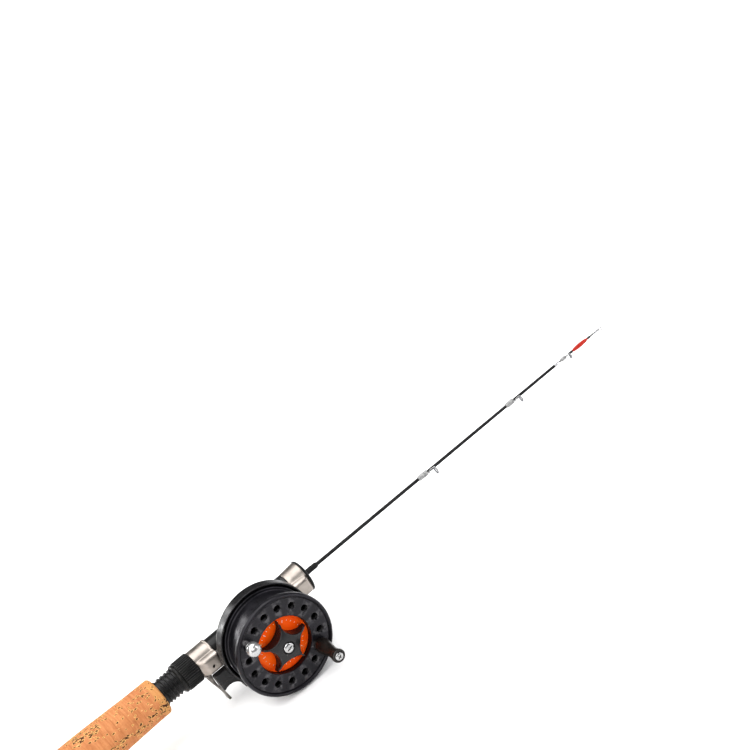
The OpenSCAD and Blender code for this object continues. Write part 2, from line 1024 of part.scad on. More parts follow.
// Waisted winding knob
module handle_knob() {
    z0 = flange_front + 0.7;
    len = knob_len - 0.7;
    steps = 16;
    side = [for (i = [0 : steps])
        [3.0 + 1.5 * pow(cos(180 * i / steps * 0.62), 2) + 0.35 * pow(i / steps, 3), z0 + 0.6 + (len - 3.4) * i / steps]
    ];
    color([0.09, 0.09, 0.09])
        on_reel()
            at_ring(hole_ring_r, knob_angle)
                difference() {
                    rotate_extrude()
                        polygon(concat(
                            [[0, z0], [4.2, z0]],
                            side,
                            [[3.9, z0 + len - 2.2], [3.95, z0 + len - 0.6], [3.5, z0 + len], [0, z0 + len]]
                        ));
                    reel_ring(0, 90, post_r + running_gap + 0.02);
                    reel_ring(z0 + len - 1.3, 90, 2.75);
                }
}

// Bright ball opposite the winding knob that balances the spool
module balance_weight() {
    color("gainsboro")
        on_reel()
            at_ring(hole_ring_r, ball_angle) {
                translate([0, 0, ball_z])
                    sphere(r = ball_r);
                reel_ring(flange_back + 0.3, ball_z, post_r);
                reel_ring(flange_front + fixed_gap, ball_z, 2.4);
            }
}

rear_grip();
butt_cap();
handle_core();
seat_barrel();
locking_nut();
rear_hood();
hood_spur();
front_hood();
front_cap();
blank_sleeve();
blank();
tip_section();
tip_ferrule();
tip_float();
float_stops();
tip_top();
guide_large();
guide_middle();
guide_small();
guide_inserts();
guide_wraps();
reel_frame();
reel_foot();
foot_screws();
spindle();
rear_bearing();
front_bearing();
spool();
spool_disc();
click_gear();
click_pawl();
click_shaft();
click_knob();
click_spring();
friction_washer();
spring_washer();
star_knob();
star_screw();
knob_washer();
handle_post();
handle_knob();
balance_weight();
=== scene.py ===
import math

import bmesh
import bpy
import numpy as np
from mathutils import Matrix, Vector


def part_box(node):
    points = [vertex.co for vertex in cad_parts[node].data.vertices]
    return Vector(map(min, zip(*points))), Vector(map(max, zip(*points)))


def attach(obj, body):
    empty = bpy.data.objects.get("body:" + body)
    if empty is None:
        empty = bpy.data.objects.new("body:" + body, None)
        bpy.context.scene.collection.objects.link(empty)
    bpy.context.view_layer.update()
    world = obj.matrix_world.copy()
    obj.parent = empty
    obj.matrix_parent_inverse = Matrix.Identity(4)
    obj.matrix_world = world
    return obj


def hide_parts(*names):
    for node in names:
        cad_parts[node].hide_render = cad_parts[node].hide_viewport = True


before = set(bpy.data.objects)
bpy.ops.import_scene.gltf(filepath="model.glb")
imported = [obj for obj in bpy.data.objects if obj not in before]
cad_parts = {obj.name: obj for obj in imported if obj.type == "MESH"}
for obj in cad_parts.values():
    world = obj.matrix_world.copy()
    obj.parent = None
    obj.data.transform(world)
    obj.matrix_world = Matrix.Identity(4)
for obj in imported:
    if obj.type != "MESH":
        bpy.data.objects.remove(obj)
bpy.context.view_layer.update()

# ---------------------------------------------------------------- places, in mm
MM = 0.001


def cad(node):
    low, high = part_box(node)
    return np.array(low) / MM, np.array(high) / MM


CAP_X = cad("front_cap")[1][0]
GRIP_LEN, GRIP_R = cad("rear_grip")[1][:2]
REEL_X = (cad("spool")[0][0] + cad("spool")[1][0]) / 2
REEL_Z = (cad("spool")[0][2] + cad("spool")[1][2]) / 2
KNOB_ANGLE = math.radians(-40)
HOLE_RING = 22.6  # the circle of flange holes, of the knob and of the ball
KNOB_AT = (REEL_X + HOLE_RING * math.cos(KNOB_ANGLE), REEL_Z + HOLE_RING * math.sin(KNOB_ANGLE))
BALL_AT = (REEL_X - HOLE_RING * math.cos(KNOB_ANGLE), REEL_Z - HOLE_RING * math.sin(KNOB_ANGLE))
FACE = 38.3  # the flange's front face, in mm before the rod's axis
LIP = -cad("spool")[0][1]
HOOD_X = cad("rear_hood")[0][0]
HOOD_LEN = cad("rear_hood")[1][0] - HOOD_X
NUT_X = cad("locking_nut")[0][0]
FRONT_X = cad("front_hood")[0][0]
BLANK_LEN = 231  # from the seat's cap to the tip ring
TIP_X = CAP_X + BLANK_LEN
BLANK_END = CAP_X + 0.84 * BLANK_LEN
BLANK_R, BLANK_END_R, TIP_R = 1.1, 0.85, 0.42
TURN = 2 * math.pi
REEL_SEGMENTS = 192


class Axis:
    """A place to turn or lay out shapes: r and angle in its plane, h along it."""

    def __init__(self, origin, ex, ey, ez):
        self.o, self.x, self.y, self.z = (np.array(v, dtype=float) for v in (origin, ex, ey, ez))

    def at(self, x, y, h):
        x, y, h = np.broadcast_arrays(np.asarray(x, float), np.asarray(y, float), np.asarray(h, float))
        return self.o + x[..., None] * self.x + y[..., None] * self.y + h[..., None] * self.z


def rod_axis(x=0.0, y=0.0, z=0.0):
    return Axis((x, y, z), (0, 1, 0), (0, 0, 1), (1, 0, 0))


def reel_axis(x=REEL_X, z=REEL_Z):
    return Axis((x, 0, z), (1, 0, 0), (0, 0, 1), (0, -1, 0))


def around(count):
    """Evenly spread angles of one turn."""
    return np.linspace(0, TURN, count, endpoint=False)


def stacked(x, y, z):
    """Points from three arrays that broadcast together."""
    return np.stack(np.broadcast_arrays(x, y, z), axis=-1)


# ---------------------------------------------------------------- mesh helpers
def new_object(name, points, faces, scale=MM):
    """A linked mesh object from points in mm."""
    mesh = bpy.data.meshes.new(name)
    mesh.from_pydata((np.asarray(points).reshape(-1, 3) * scale).tolist(), [], faces)
    obj = bpy.data.objects.new(name, mesh)
    bpy.context.scene.collection.objects.link(obj)
    return obj


def grid_faces(rows, cols, loop_rows, cap_ends):
    """Quads of a grid of rings; each ring closes on itself."""
    faces = []
    for i in range(rows if loop_rows else rows - 1):
        a, b = i * cols, ((i + 1) % rows) * cols
        for j in range(cols):
            k = (j + 1) % cols
            faces.append((a + j, a + k, b + k, b + j))
    if cap_ends:
        faces.append(tuple(range(cols)))
        faces.append(tuple((rows - 1) * cols + j for j in range(cols)))
    return faces


def add_piece(name, points, faces, body, slot, nodes=(), sharp=40, weighted=True):
    """Makes a piece from points in mm, finishes it and hangs it on its body."""
    obj = new_object(name, points, faces)
    tidy(obj, sharp)
    if weighted:
        weigh(obj)
    claim(obj, body, slot, nodes)
    return obj


def tidy(obj, sharp=40):
    """Clean faces that point outwards, smooth shading, sharp only past an angle."""
    bm = bmesh.new()
    bm.from_mesh(obj.data)
    bmesh.ops.remove_doubles(bm, verts=bm.verts, dist=2e-7)
    bmesh.ops.triangulate(bm, faces=[f for f in bm.faces if len(f.verts) > 4], ngon_method="BEAUTY")
    bmesh.ops.recalc_face_normals(bm, faces=bm.faces)
    for face in bm.faces:
        face.smooth = True
    bm.to_mesh(obj.data)
    bm.free()
    obj.data.validate()
    obj.data.set_sharp_from_angle(angle=math.radians(sharp))


def weigh(obj):
    """Flat faces keep flat shading beside rounded edges."""
    mod = obj.modifiers.new("flat_faces", "WEIGHTED_NORMAL")
    mod.keep_sharp = True
    mod.weight = 60


def claim(obj, body, slot, nodes=()):
    """One finish, the CAD nodes replaced, and the body to ride on."""
    obj.data.materials.clear()
    obj.data.materials.append(MATERIALS[slot])
    if nodes:
        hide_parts(*nodes)
    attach(obj, body)


def rounded(points, radius, steps=3, closed=True):
    """Cuts the corners of a polyline with short curves."""
    pts = [np.array(p, dtype=float) for p in points]
    out = []
    count = len(pts)
    for i, p in enumerate(pts):
        if not closed and i in (0, count - 1):
            out.append(p)
            continue
        before, after = pts[i - 1], pts[(i + 1) % count]
        da, db = before - p, after - p
        la, lb = np.linalg.norm(da), np.linalg.norm(db)
        turn = abs(np.dot(da, db) / (la * lb) + 1)
        cut = min(radius, 0.42 * la, 0.42 * lb)
        if turn < 0.02:
            out.append(p)
            continue
        a, b = p + da / la * cut, p + db / lb * cut
        for k in range(steps + 1):
            t = k / steps
            out.append((1 - t) ** 2 * a + 2 * t * (1 - t) * p + t * t * b)
    return out


def turned(axis, profile, segments, closed=True, wobble=None):
    """Points and faces of a shape turned about an axis from (r, h) pairs."""
    prof = np.array(profile, dtype=float)
    angle = around(segments)
    r = np.repeat(prof[:, :1], segments, axis=1)
    h = np.repeat(prof[:, 1:2], segments, axis=1)
    if wobble is not None:
        r, h = wobble(r, h, angle[None, :])
    pts = axis.at(r * np.cos(angle), r * np.sin(angle), h)
    return pts, grid_faces(len(prof), segments, closed, not closed)


def lathe(name, axis, profile, body, slot, nodes=(), segments=96, edge=0.2, closed=True, sharp=50,
        wobble=None):
    """A turned piece with its corners rounded by edge."""
    prof = rounded(profile, edge, 3, closed) if edge else profile
    pts, faces = turned(axis, prof, segments, closed, wobble)
    return add_piece(name, pts, faces, body, slot, nodes, sharp)


def inset(outline, distance):
    """Moves a closed outline inwards along its corner normals."""
    pts = np.array(outline, dtype=float)
    ahead, behind = np.roll(pts, -1, axis=0) - pts, pts - np.roll(pts, 1, axis=0)
    ahead /= np.linalg.norm(ahead, axis=1)[:, None] + 1e-12
    behind /= np.linalg.norm(behind, axis=1)[:, None] + 1e-12
    along = ahead + behind
    along /= np.linalg.norm(along, axis=1)[:, None] + 1e-12
    area = np.sum(pts[:, 0] * np.roll(pts[:, 1], -1) - np.roll(pts[:, 0], -1) * pts[:, 1])
    side = 1 if area > 0 else -1
    normal = np.stack([-along[:, 1], along[:, 0]], axis=1) * side
    return pts + normal * distance


def slab(axis, outline, low, high, edge=0.3):
    """An extruded outline with rounded rims."""
    rings = []
    levels = ((1.0, low), (0.3, low + 0.3 * edge), (0.0, low + edge), (0.0, high - edge),
        (0.3, high - 0.3 * edge), (1.0, high))
    for depth, h in levels:
        ring = inset(outline, depth * edge)
        rings.append(axis.at(ring[:, 0], ring[:, 1], h))
    return np.array(rings), grid_faces(len(rings), len(outline), False, True)


def tube(path, radius, segments=16, closed=False):
    """A round wire along points, in mm, with its frame carried along."""
    pts = np.array(path, dtype=float)
    count = len(pts)
    radii = np.broadcast_to(np.asarray(radius, float), (count,))
    if closed:
        tangent = np.roll(pts, -1, axis=0) - np.roll(pts, 1, axis=0)
    else:
        tangent = np.gradient(pts, axis=0)
    tangent /= np.linalg.norm(tangent, axis=1)[:, None]
    side = np.cross(tangent[0], (0.31, 0.87, 0.39))
    rings = []
    angle = around(segments)
    for i in range(count):
        side = side - tangent[i] * np.dot(side, tangent[i])
        side /= np.linalg.norm(side)
        other = np.cross(tangent[i], side)
        rings.append(pts[i] + radii[i] * (np.cos(angle)[:, None] * side + np.sin(angle)[:, None] * other))
    return np.array(rings), grid_faces(count, segments, closed, not closed)


def joined(parts):
    """Several (points, faces) pairs as one."""
    points, faces, start = [], [], 0
    for pts, fcs in parts:
        flat = np.asarray(pts).reshape(-1, 3)
        points.append(flat)
        faces.extend(tuple(v + start for v in f) for f in fcs)
        start += len(flat)
    return np.concatenate(points), faces


def scratch(points, faces):
    """A bare object used only as a boolean operand."""
    obj = new_object("operand", points, faces)
    tidy(obj)
    return obj


def carve(obj, operand, operation="DIFFERENCE"):
    """Applies one boolean to obj's own mesh and removes the operand."""
    mod = obj.modifiers.new("carve", "BOOLEAN")
    mod.operation = operation
    mod.solver = "EXACT"
    mod.object = operand
    bpy.context.view_layer.update()
    result = bpy.data.meshes.new_from_object(obj.evaluated_get(bpy.context.evaluated_depsgraph_get()))
    obj.modifiers.remove(mod)
    bm = bmesh.new()
    bm.from_mesh(result)
    bmesh.ops.remove_doubles(bm, verts=bm.verts, dist=2e-6)
    bmesh.ops.dissolve_degenerate(bm, dist=2e-6, edges=bm.edges)
    bm.to_mesh(result)
    bm.free()
    old = obj.data
    obj.data = result
    bpy.data.meshes.remove(old)
    spare = operand.data
    bpy.data.objects.remove(operand)
    bpy.data.meshes.remove(spare)


def finish_carved(obj, body, slot, sharp):
    """Cleans a carved object and gives it its finish again."""
    tidy(obj, sharp)
    claim(obj, body, slot)
    weigh(obj)


def smooth_path(points, per_span=6):
    """Catmull-Rom curve through the points."""
    p = np.array(points, dtype=float)
    p = np.vstack([2 * p[0] - p[1], p, 2 * p[-1] - p[-2]])
    out = []
    for i in range(1, len(p) - 2):
        a, b, c, d = p[i - 1:i + 3]
        for k in range(per_span):
            t = k / per_span
            out.append(0.5 * (2 * b + (c - a) * t + (2 * a - 5 * b + 4 * c - d) * t * t
                + (3 * b - a - 3 * c + d) * t ** 3))
    out.append(p[-2])
    return np.array(out)


# ---------------------------------------------------------------- materials
MATERIALS = {}


class Nodes:
    """Short forms for building one material."""

    def __init__(self, name):
        self.mat = bpy.data.materials.new(name)
        self.mat.use_nodes = True
        self.tree = self.mat.node_tree
        self.shader = self.tree.nodes["Principled BSDF"]
        self.coord = self.new("ShaderNodeTexCoord").outputs["Object"]
        MATERIALS[name] = self.mat

    def new(self, kind, **values):
        node = self.tree.nodes.new(kind)
        for key, value in values.items():
            setattr(node, key, value)
        return node

    def link(self, a, b):
        self.tree.links.new(a, b)

    def set(self, **values):
        for key, value in values.items():
            self.shader.inputs[key.replace("_", " ")].default_value = value

    def stretch(self, x=1.0, y=1.0, z=1.0):
        node = self.new("ShaderNodeMapping")
        self.link(self.coord, node.inputs["Vector"])
        node.inputs["Scale"].default_value = (x, y, z)
        return node.outputs["Vector"]

    def noise(self, scale, detail=4, rough=0.55, vector=None, warp=0.0):
        node = self.new("ShaderNodeTexNoise")
        self.link(vector or self.coord, node.inputs["Vector"])
        node.inputs["Scale"].default_value = scale
        node.inputs["Detail"].default_value = detail
        node.inputs["Roughness"].default_value = rough
        node.inputs["Distortion"].default_value = warp
        return node.outputs["Fac"]

    def cells(self, scale, vector=None, feature="F1"):
        node = self.new("ShaderNodeTexVoronoi", feature=feature)
        self.link(vector or self.coord, node.inputs["Vector"])
        node.inputs["Scale"].default_value = scale
        return node.outputs["Distance"]

    def ramp(self, value, low, high, to_low=0.0, to_high=1.0):
        node = self.new("ShaderNodeMapRange")
        self.link(value, node.inputs["Value"])
        for key, number in (("From Min", low), ("From Max", high), ("To Min", to_low), ("To Max", to_high)):
            node.inputs[key].default_value = number
        return node.outputs["Result"]

    def math(self, operation, a, b):
        node = self.new("ShaderNodeMath", operation=operation)
        for socket, value in zip(node.inputs, (a, b)):
            if isinstance(value, (int, float)):
                socket.default_value = value
            else:
                self.link(value, socket)
        return node.outputs["Value"]

    def mix(self, factor, a, b):
        node = self.new("ShaderNodeMix", data_type="RGBA")
        self.link(factor, node.inputs["Factor"])
        for key, value in (("A", a), ("B", b)):
            socket = next(s for s in node.inputs if s.name == key and s.type == "RGBA")
            if isinstance(value, tuple):
                socket.default_value = value + (1.0,)
            else:
                self.link(value, socket)
        return next(s for s in node.outputs if s.type == "RGBA")

    def edges(self, low=0.52, high=0.6):
        geometry = self.new("ShaderNodeNewGeometry")
        return self.ramp(geometry.outputs["Pointiness"], low, high)

    def bump(self, height, strength, distance):
        node = self.new("ShaderNodeBump")
        node.inputs["Strength"].default_value = strength
        node.inputs["Distance"].default_value = distance
        self.link(height, node.inputs["Height"])
        self.link(node.outputs["Normal"], self.shader.inputs["Normal"])


def plain(name, dark, light, rough, metal=0.0, tone=180.0, grain=2500.0, grain_depth=0.00002, wear=None,
          stretched=(1, 1, 1), **sockets):
    """Moulded, painted or metal surface: slow colour drift, patchy roughness, fine grain, worn edges."""
    n = Nodes(name)
    drift = n.ramp(n.noise(tone, 3), 0.3, 0.7)
    colour = n.mix(drift, dark, light)
    fine = n.noise(grain, 3, 0.6, n.stretch(*stretched))
    if wear:
        patchy = n.math("MULTIPLY", n.edges(), n.ramp(n.noise(tone * 4, 5), 0.42, 0.62))
        colour = n.mix(patchy, colour, wear)
    n.link(colour, n.shader.inputs["Base Color"])
    uneven = n.math("ADD", n.ramp(n.noise(tone * 2.3, 4), 0.3, 0.7, rough[0], rough[1]),
        n.ramp(fine, 0.3, 0.7, -0.03, 0.03))
    n.link(uneven, n.shader.inputs["Roughness"])
    n.bump(fine, 0.5, grain_depth)
    n.set(Metallic=metal, **sockets)
    return n


def cork():
    """Orange-tan cork: slow drift, fine growth lines, pale grain, dark pits with a painted highlight on
    their rims.
    """
    n = Nodes("cork")
    warm = n.mix(n.ramp(n.noise(120, 5, 0.6, None, 0.5), 0.3, 0.7), (0.37, 0.135, 0.050),
        (0.50, 0.205, 0.082))
    lines = n.noise(330, 4, 0.6, n.stretch(2.6, 0.22, 0.22), 0.25)
    warm = n.mix(n.ramp(lines, 0.46, 0.62, 0.0, 0.42), warm, (0.58, 0.27, 0.12))
    warm = n.mix(n.ramp(lines, 0.44, 0.34, 0.0, 0.45), warm, (0.25, 0.085, 0.03))
    ring = n.new("ShaderNodeAttribute", attribute_name="ring_tone").outputs["Fac"]
    warm = n.mix(n.ramp(ring, 0.0, 1.0, 0.0, 0.55), warm, (0.52, 0.29, 0.095))
    grains = n.cells(560, n.stretch(0.7, 1.0, 1.0), "DISTANCE_TO_EDGE")
    warm = n.mix(n.ramp(grains, 0.0, 0.06, 0.22, 0.0), warm, (0.30, 0.11, 0.035))
    flecks = n.ramp(n.noise(520, 5, 0.65, n.stretch(0.45, 1.0, 1.0)), 0.635, 0.69)
    warm = n.mix(flecks, warm, (0.74, 0.47, 0.20))
    pit = n.new("ShaderNodeAttribute", attribute_name="pit").outputs["Fac"]
    # Painted highlight: a pale gold ring around each pit stands for light catching the pit's lip
    warm = n.mix(n.ramp(pit, 0.01, 0.1), warm, (0.70, 0.42, 0.15))
    warm = n.mix(n.ramp(pit, 0.16, 0.42), warm, (0.06, 0.02, 0.008))
    n.link(warm, n.shader.inputs["Base Color"])
    n.link(n.ramp(n.noise(700, 4), 0.3, 0.7, 0.6, 0.82), n.shader.inputs["Roughness"])
    n.bump(n.math("ADD", n.noise(1500, 5, 0.7), n.ramp(grains, 0.0, 0.06)), 0.5, 0.00008)
    n.set(Specular_IOR_Level=0.3)


def wrapped_thread():
    """Grey thread under lacquer."""
    n = Nodes("wrap_thread")
    colour = n.mix(n.ramp(n.noise(900, 3), 0.35, 0.65), (0.17, 0.17, 0.172), (0.36, 0.36, 0.355))
    n.link(colour, n.shader.inputs["Base Color"])
    n.link(n.ramp(n.noise(1400, 3), 0.3, 0.7, 0.22, 0.4), n.shader.inputs["Roughness"])
    n.bump(n.noise(6000, 2, 0.5, n.stretch(1, 0.2, 0.2)), 0.4, 0.00002)
    n.set(Specular_IOR_Level=0.35)


def make_materials():
    cork()
    wrapped_thread()
    plain("butt_rubber", (0.010, 0.010, 0.010), (0.022, 0.021, 0.020), (0.6, 0.8), tone=220, grain=1800,
        grain_depth=0.00005, wear=(0.09, 0.09, 0.09), Specular_IOR_Level=0.3)
    plain("core_fibre", (0.22, 0.21, 0.19), (0.36, 0.34, 0.30), (0.55, 0.75), grain=900,
        stretched=(1, 4, 4), grain_depth=0.00006)
    plain("seat_black", (0.004, 0.004, 0.0045), (0.009, 0.0085, 0.0085), (0.26, 0.4), tone=150,
        wear=(0.05, 0.05, 0.05), Specular_IOR_Level=0.3)
    plain("nut_black", (0.004, 0.004, 0.0045), (0.010, 0.0095, 0.009), (0.26, 0.4), tone=260,
        grain_depth=0.00003, wear=(0.085, 0.082, 0.078), Specular_IOR_Level=0.2)
    plain("spur_metal", (0.10, 0.092, 0.085), (0.24, 0.22, 0.205), (0.3, 0.45), metal=0.75, tone=260,
        grain=1500, grain_depth=0.00002, wear=(0.45, 0.42, 0.39))
    plain("hood_metal", (0.27, 0.243, 0.22), (0.39, 0.352, 0.32), (0.3, 0.42), metal=1.0, tone=110,
        grain=900, stretched=(0.15, 2.0, 2.0), grain_depth=0.000012)
    plain("blank_black", (0.010, 0.010, 0.0105), (0.026, 0.026, 0.027), (0.36, 0.5), tone=300, grain=3000,
        stretched=(0.3, 1, 1), Specular_IOR_Level=0.15)
    plain("tip_fibre", (0.03, 0.03, 0.029), (0.08, 0.08, 0.078), (0.36, 0.5), tone=260, grain=2600,
        stretched=(0.2, 1, 1), Specular_IOR_Level=0.15)
    plain("guide_metal", (0.34, 0.34, 0.345), (0.48, 0.48, 0.485), (0.16, 0.28), metal=1.0, tone=500,
        grain_depth=0.000006)
    plain("insert_grey", (0.10, 0.105, 0.115), (0.20, 0.205, 0.22), (0.1, 0.2), tone=600,
        grain_depth=0.000006, Coat_Weight=0.3)
    plain("float_red", (0.28, 0.010, 0.005), (0.42, 0.022, 0.008), (0.26, 0.4), tone=380,
        wear=(0.7, 0.2, 0.12), Specular_IOR_Level=0.35)
    plain("stop_black", (0.012, 0.012, 0.012), (0.03, 0.03, 0.03), (0.5, 0.7), tone=500)
    plain("reel_black", (0.005, 0.005, 0.0058), (0.012, 0.0115, 0.0125), (0.24, 0.38), tone=120, grain=3200,
        grain_depth=0.000022, wear=(0.16, 0.155, 0.15), Specular_IOR_Level=0.38)
    plain("spool_black", (0.005, 0.005, 0.0062), (0.012, 0.0115, 0.0145), (0.26, 0.38), tone=140,
        grain=3600, grain_depth=0.00003, wear=(0.2, 0.195, 0.2), Specular_Tint=(0.97, 0.94, 1.0, 1.0),
        Specular_IOR_Level=0.3)
    plain("disc_orange", (0.98, 0.10, 0.003), (1.0, 0.15, 0.006), (0.32, 0.44), tone=160, grain=2800,
        grain_depth=0.00001, wear=(0.95, 0.35, 0.12), Specular_IOR_Level=0.1)
    plain("disc_mark", (0.78, 0.76, 0.72), (0.9, 0.88, 0.84), (0.4, 0.55), tone=800)
    plain("star_black", (0.004, 0.004, 0.005), (0.010, 0.0095, 0.011), (0.25, 0.36), tone=170, grain=3000,
        grain_depth=0.00002, wear=(0.07, 0.068, 0.07), Specular_IOR_Level=0.42)
    plain("knob_brown", (0.006, 0.0045, 0.004), (0.016, 0.012, 0.010), (0.26, 0.42), tone=200, grain=2600,
        stretched=(1, 0.3, 1), wear=(0.085, 0.07, 0.06), Specular_IOR_Level=0.4)
    plain("screw_steel", (0.42, 0.42, 0.43), (0.60, 0.60, 0.61), (0.25, 0.4), metal=1.0, tone=400)
    plain("screw_chrome", (0.34, 0.34, 0.34), (0.48, 0.48, 0.48), (0.16, 0.28), metal=1.0, tone=500,
        grain_depth=0.000008)
    plain("ball_chrome", (0.40, 0.40, 0.40), (0.46, 0.46, 0.46), (0.18, 0.22), metal=0.7, tone=120,
        grain=1500, grain_depth=0.000002)
    plain("shaft_steel", (0.42, 0.42, 0.44), (0.62, 0.62, 0.64), (0.22, 0.36), metal=1.0, tone=400,
        stretched=(4, 0.2, 4))
    plain("bearing_steel", (0.45, 0.46, 0.49), (0.65, 0.66, 0.70), (0.15, 0.28), metal=1.0, tone=400)
    plain("click_brass", (0.48, 0.32, 0.12), (0.72, 0.52, 0.24), (0.25, 0.4), metal=1.0, tone=350,
        wear=(0.85, 0.7, 0.42))
    plain("washer_fibre", (0.25, 0.15, 0.08), (0.42, 0.29, 0.17), (0.6, 0.8), tone=500, grain=1800,
        grain_depth=0.00006)
    plain("spur_end", (0.035, 0.033, 0.022), (0.085, 0.08, 0.055), (0.35, 0.5), tone=400,
        grain_depth=0.00003)


# ---------------------------------------------------------------- cork grip and butt cap
def cork_grip():
    """Cork rings glued up, with sunk pits in clusters."""
    front_r, straight, edge = 11.4, 55.0, 0.9
    step = 0.36
    body_end = GRIP_LEN - 1.0
    xs = np.arange(0.35, body_end, step)
    ease = np.clip((xs - straight) / (body_end - straight), 0, 1)
    rs = front_r + (GRIP_R - front_r) * (0.5 + 0.5 * np.cos(math.pi * ease))
    profile = [(5.0, 0.0), (GRIP_R - 0.35, 0.0), (GRIP_R - 0.08, 0.1)]
    profile += list(zip(rs, xs))
    profile += [(front_r - 0.1, body_end + 0.1), (front_r - 0.5, GRIP_LEN - 0.35),
        (front_r - edge, GRIP_LEN), (5.0, GRIP_LEN)]
    segments = 240
    pts, faces = turned(rod_axis(), profile, segments)
    r = np.array([p[0] for p in profile])
    h = np.array([p[1] for p in profile])
    angle = around(segments)
    pit = np.zeros((len(profile), segments))
    rng = np.random.default_rng(417)
    outer = r > front_r - 1.2
    clusters = [(rng.uniform(2, GRIP_LEN), rng.uniform(0, TURN), rng.uniform(3, 9)) for _ in range(26)]
    clusters += [(GRIP_LEN - 8, a, 5.5) for a in (0.4, 1.9, 3.3, 4.4, 5.4)]
    for _ in range(900):
        if rng.random() < 0.72:
            near_x, near_a, reach = clusters[rng.integers(len(clusters))]
            x0, a0 = rng.normal(near_x, reach), rng.normal(near_a, reach / 24) % TURN
        else:
            x0, a0 = rng.uniform(1.0, GRIP_LEN), rng.uniform(0, TURN)
        long, wide = rng.uniform(0.4, 1.3) * (2.3 if rng.random() < 0.14 else 1.0), rng.uniform(0.3, 0.52)
        tilt = rng.normal(0, 0.3) if rng.random() < 0.8 else rng.uniform(0, math.pi)
        depth = rng.uniform(0.45, 1.0)
        near = np.abs(h - x0) < 3.2
        rows = np.where(near & outer)[0]
        if len(rows) == 0:
            continue
        dx = (h[rows] - x0)[:, None]
        da = (angle - a0 + math.pi) % TURN - math.pi
        dy = GRIP_R * da[None, :]
        u = dx * math.cos(tilt) + dy * math.sin(tilt)
        v = -dx * math.sin(tilt) + dy * math.cos(tilt) + 0.2 * np.sin(2.4 * u + a0 * 5)
        shape = np.clip(1 - (u / long) ** 2 - (v / wide) ** 2, 0, 1) ** 0.6 * depth
        pit[rows] = np.maximum(pit[rows], shape)
    depth_mm = 0.34
    uneven = 0.035 * (np.sin(angle * 9 + 1.3)[None, :] * np.sin(h / 2.9)[:, None]
        + np.sin(angle * 17)[None, :] * np.sin(h / 1.3 + 2)[:, None])
    shrink = np.where(outer[:, None], pit * depth_mm + 0.05 + np.abs(uneven), 0)
    # The rings that the grip is glued up from meet at fine grooves
    ring_len = 12.7
    to_seam = np.abs((h + 4.0) / ring_len - np.round((h + 4.0) / ring_len)) * ring_len
    shrink += np.where(outer, np.clip(0.2 - to_seam, 0, 1) * 0.25, 0)[:, None]
    rr = r[:, None] - shrink
    pts = rod_axis().at(rr * np.cos(angle), rr * np.sin(angle), h[:, None])
    obj = new_object("cork_grip", pts, faces)
    mesh = obj.data
    tone_of_ring = rng.uniform(0.0, 0.25, 20)
    tone_of_ring[9] = 0.8
    tone = tone_of_ring[np.clip(np.round((h + 4.0 - ring_len / 2) / ring_len).astype(int), 0, 19)]
    for label, values in (("pit", pit.reshape(-1)), ("ring_tone", np.repeat(tone, segments))):
        layer = mesh.attributes.new(label, "FLOAT", "POINT")
        layer.data.foreach_set("value", values.astype(np.float32))
    for poly in mesh.polygons:
        poly.use_smooth = True
    bm = bmesh.new()
    bm.from_mesh(mesh)
    bmesh.ops.recalc_face_normals(bm, faces=bm.faces)
    bm.to_mesh(mesh)
    bm.free()
    claim(obj, "root", "cork", ["rear_grip"])


def butt():
    """Rubber cap with a ring in its end face, and its plug in the grip."""
    low = cad("butt_cap")[0][0]
    r = GRIP_R - 0.47
    profile = [(0.4, low), (3.4, low), (3.8, low + 0.45), (4.6, low + 0.45), (5.0, low),
        (r - 3.6, low + 0.05), (r - 1.6, low + 0.7), (r - 0.5, low + 2.1), (r, low + 4.2), (r, -1.9),
        (r - 0.3, -1.7), (r - 0.3, -1.3), (r, -1.1), (r - 0.05, -0.05), (4.9, -0.05), (4.9, 5.9),
        (0.4, 5.9)]
    lathe("rubber_butt", rod_axis(), profile, "root", "butt_rubber", ["butt_cap"], 96, 0.35, closed=False)


# ---------------------------------------------------------------- reel seat
def seat():
    """Barrel with a screw thread behind and a collar in front."""
    barrel_r, pitch, thread_len = 7.8, 2.5, 33.0
    root_r = barrel_r - 0.75
    end = CAP_X - 4
    seg = 160
    angle = around(seg)
    xs = list(np.arange(GRIP_LEN + 0.05, GRIP_LEN + thread_len, 0.17))
    collar = [CAP_X - 16.0, CAP_X - 12.1]
    xs += [GRIP_LEN + thread_len + d for d in (0.1, 0.5, 1.0)]
    xs += list(np.linspace(GRIP_LEN + thread_len + 3, collar[0] - 0.4, 12))
    xs += [collar[0] - 0.02, collar[0], collar[0] + 0.3, collar[1] - 0.3, collar[1], collar[1] + 0.02,
        end - 4, end]
    xs = np.array(xs)
    rel = (xs - GRIP_LEN)[:, None]
    turn = (rel / pitch - angle[None, :] / TURN) % 1.0
    crest = np.clip((0.34 - np.abs(turn - 0.5)) / 0.16, 0, 1)
    crest = crest * crest * (3 - 2 * crest)
    fade = np.clip((rel - 2.2) / 1.2, 0, 1) * np.clip((thread_len - 0.6 - rel) / 1.2, 0, 1)
    r = root_r + (barrel_r - root_r) * crest * fade
    r = np.where(rel < 1.55, barrel_r, r)
    r = np.where(rel > thread_len, barrel_r, r)
    in_collar = (xs >= collar[0]) & (xs <= collar[1])
    r = np.where(in_collar[:, None], 8.72, r)
    rim = np.isin(xs, (collar[0], collar[1]))
    r = np.where(rim[:, None], 8.45, r)
    y, z = r * np.cos(angle), r * np.sin(angle)
    y = np.where((np.abs(z) < 4.85) & (y < -barrel_r + 0.001) & in_collar[:, None], -barrel_r, y)
    outer = stacked(xs[:, None], y, z)
    inner_r = 4.95
    inner = [stacked(x, inner_r * np.cos(angle), inner_r * np.sin(angle)) for x in (end, xs[0])]
    pts = np.concatenate([outer, np.array(inner)])
    add_piece("reel_seat", pts, grid_faces(len(pts), seg, True, False), "root", "seat_black",
        ["seat_barrel"], 38)


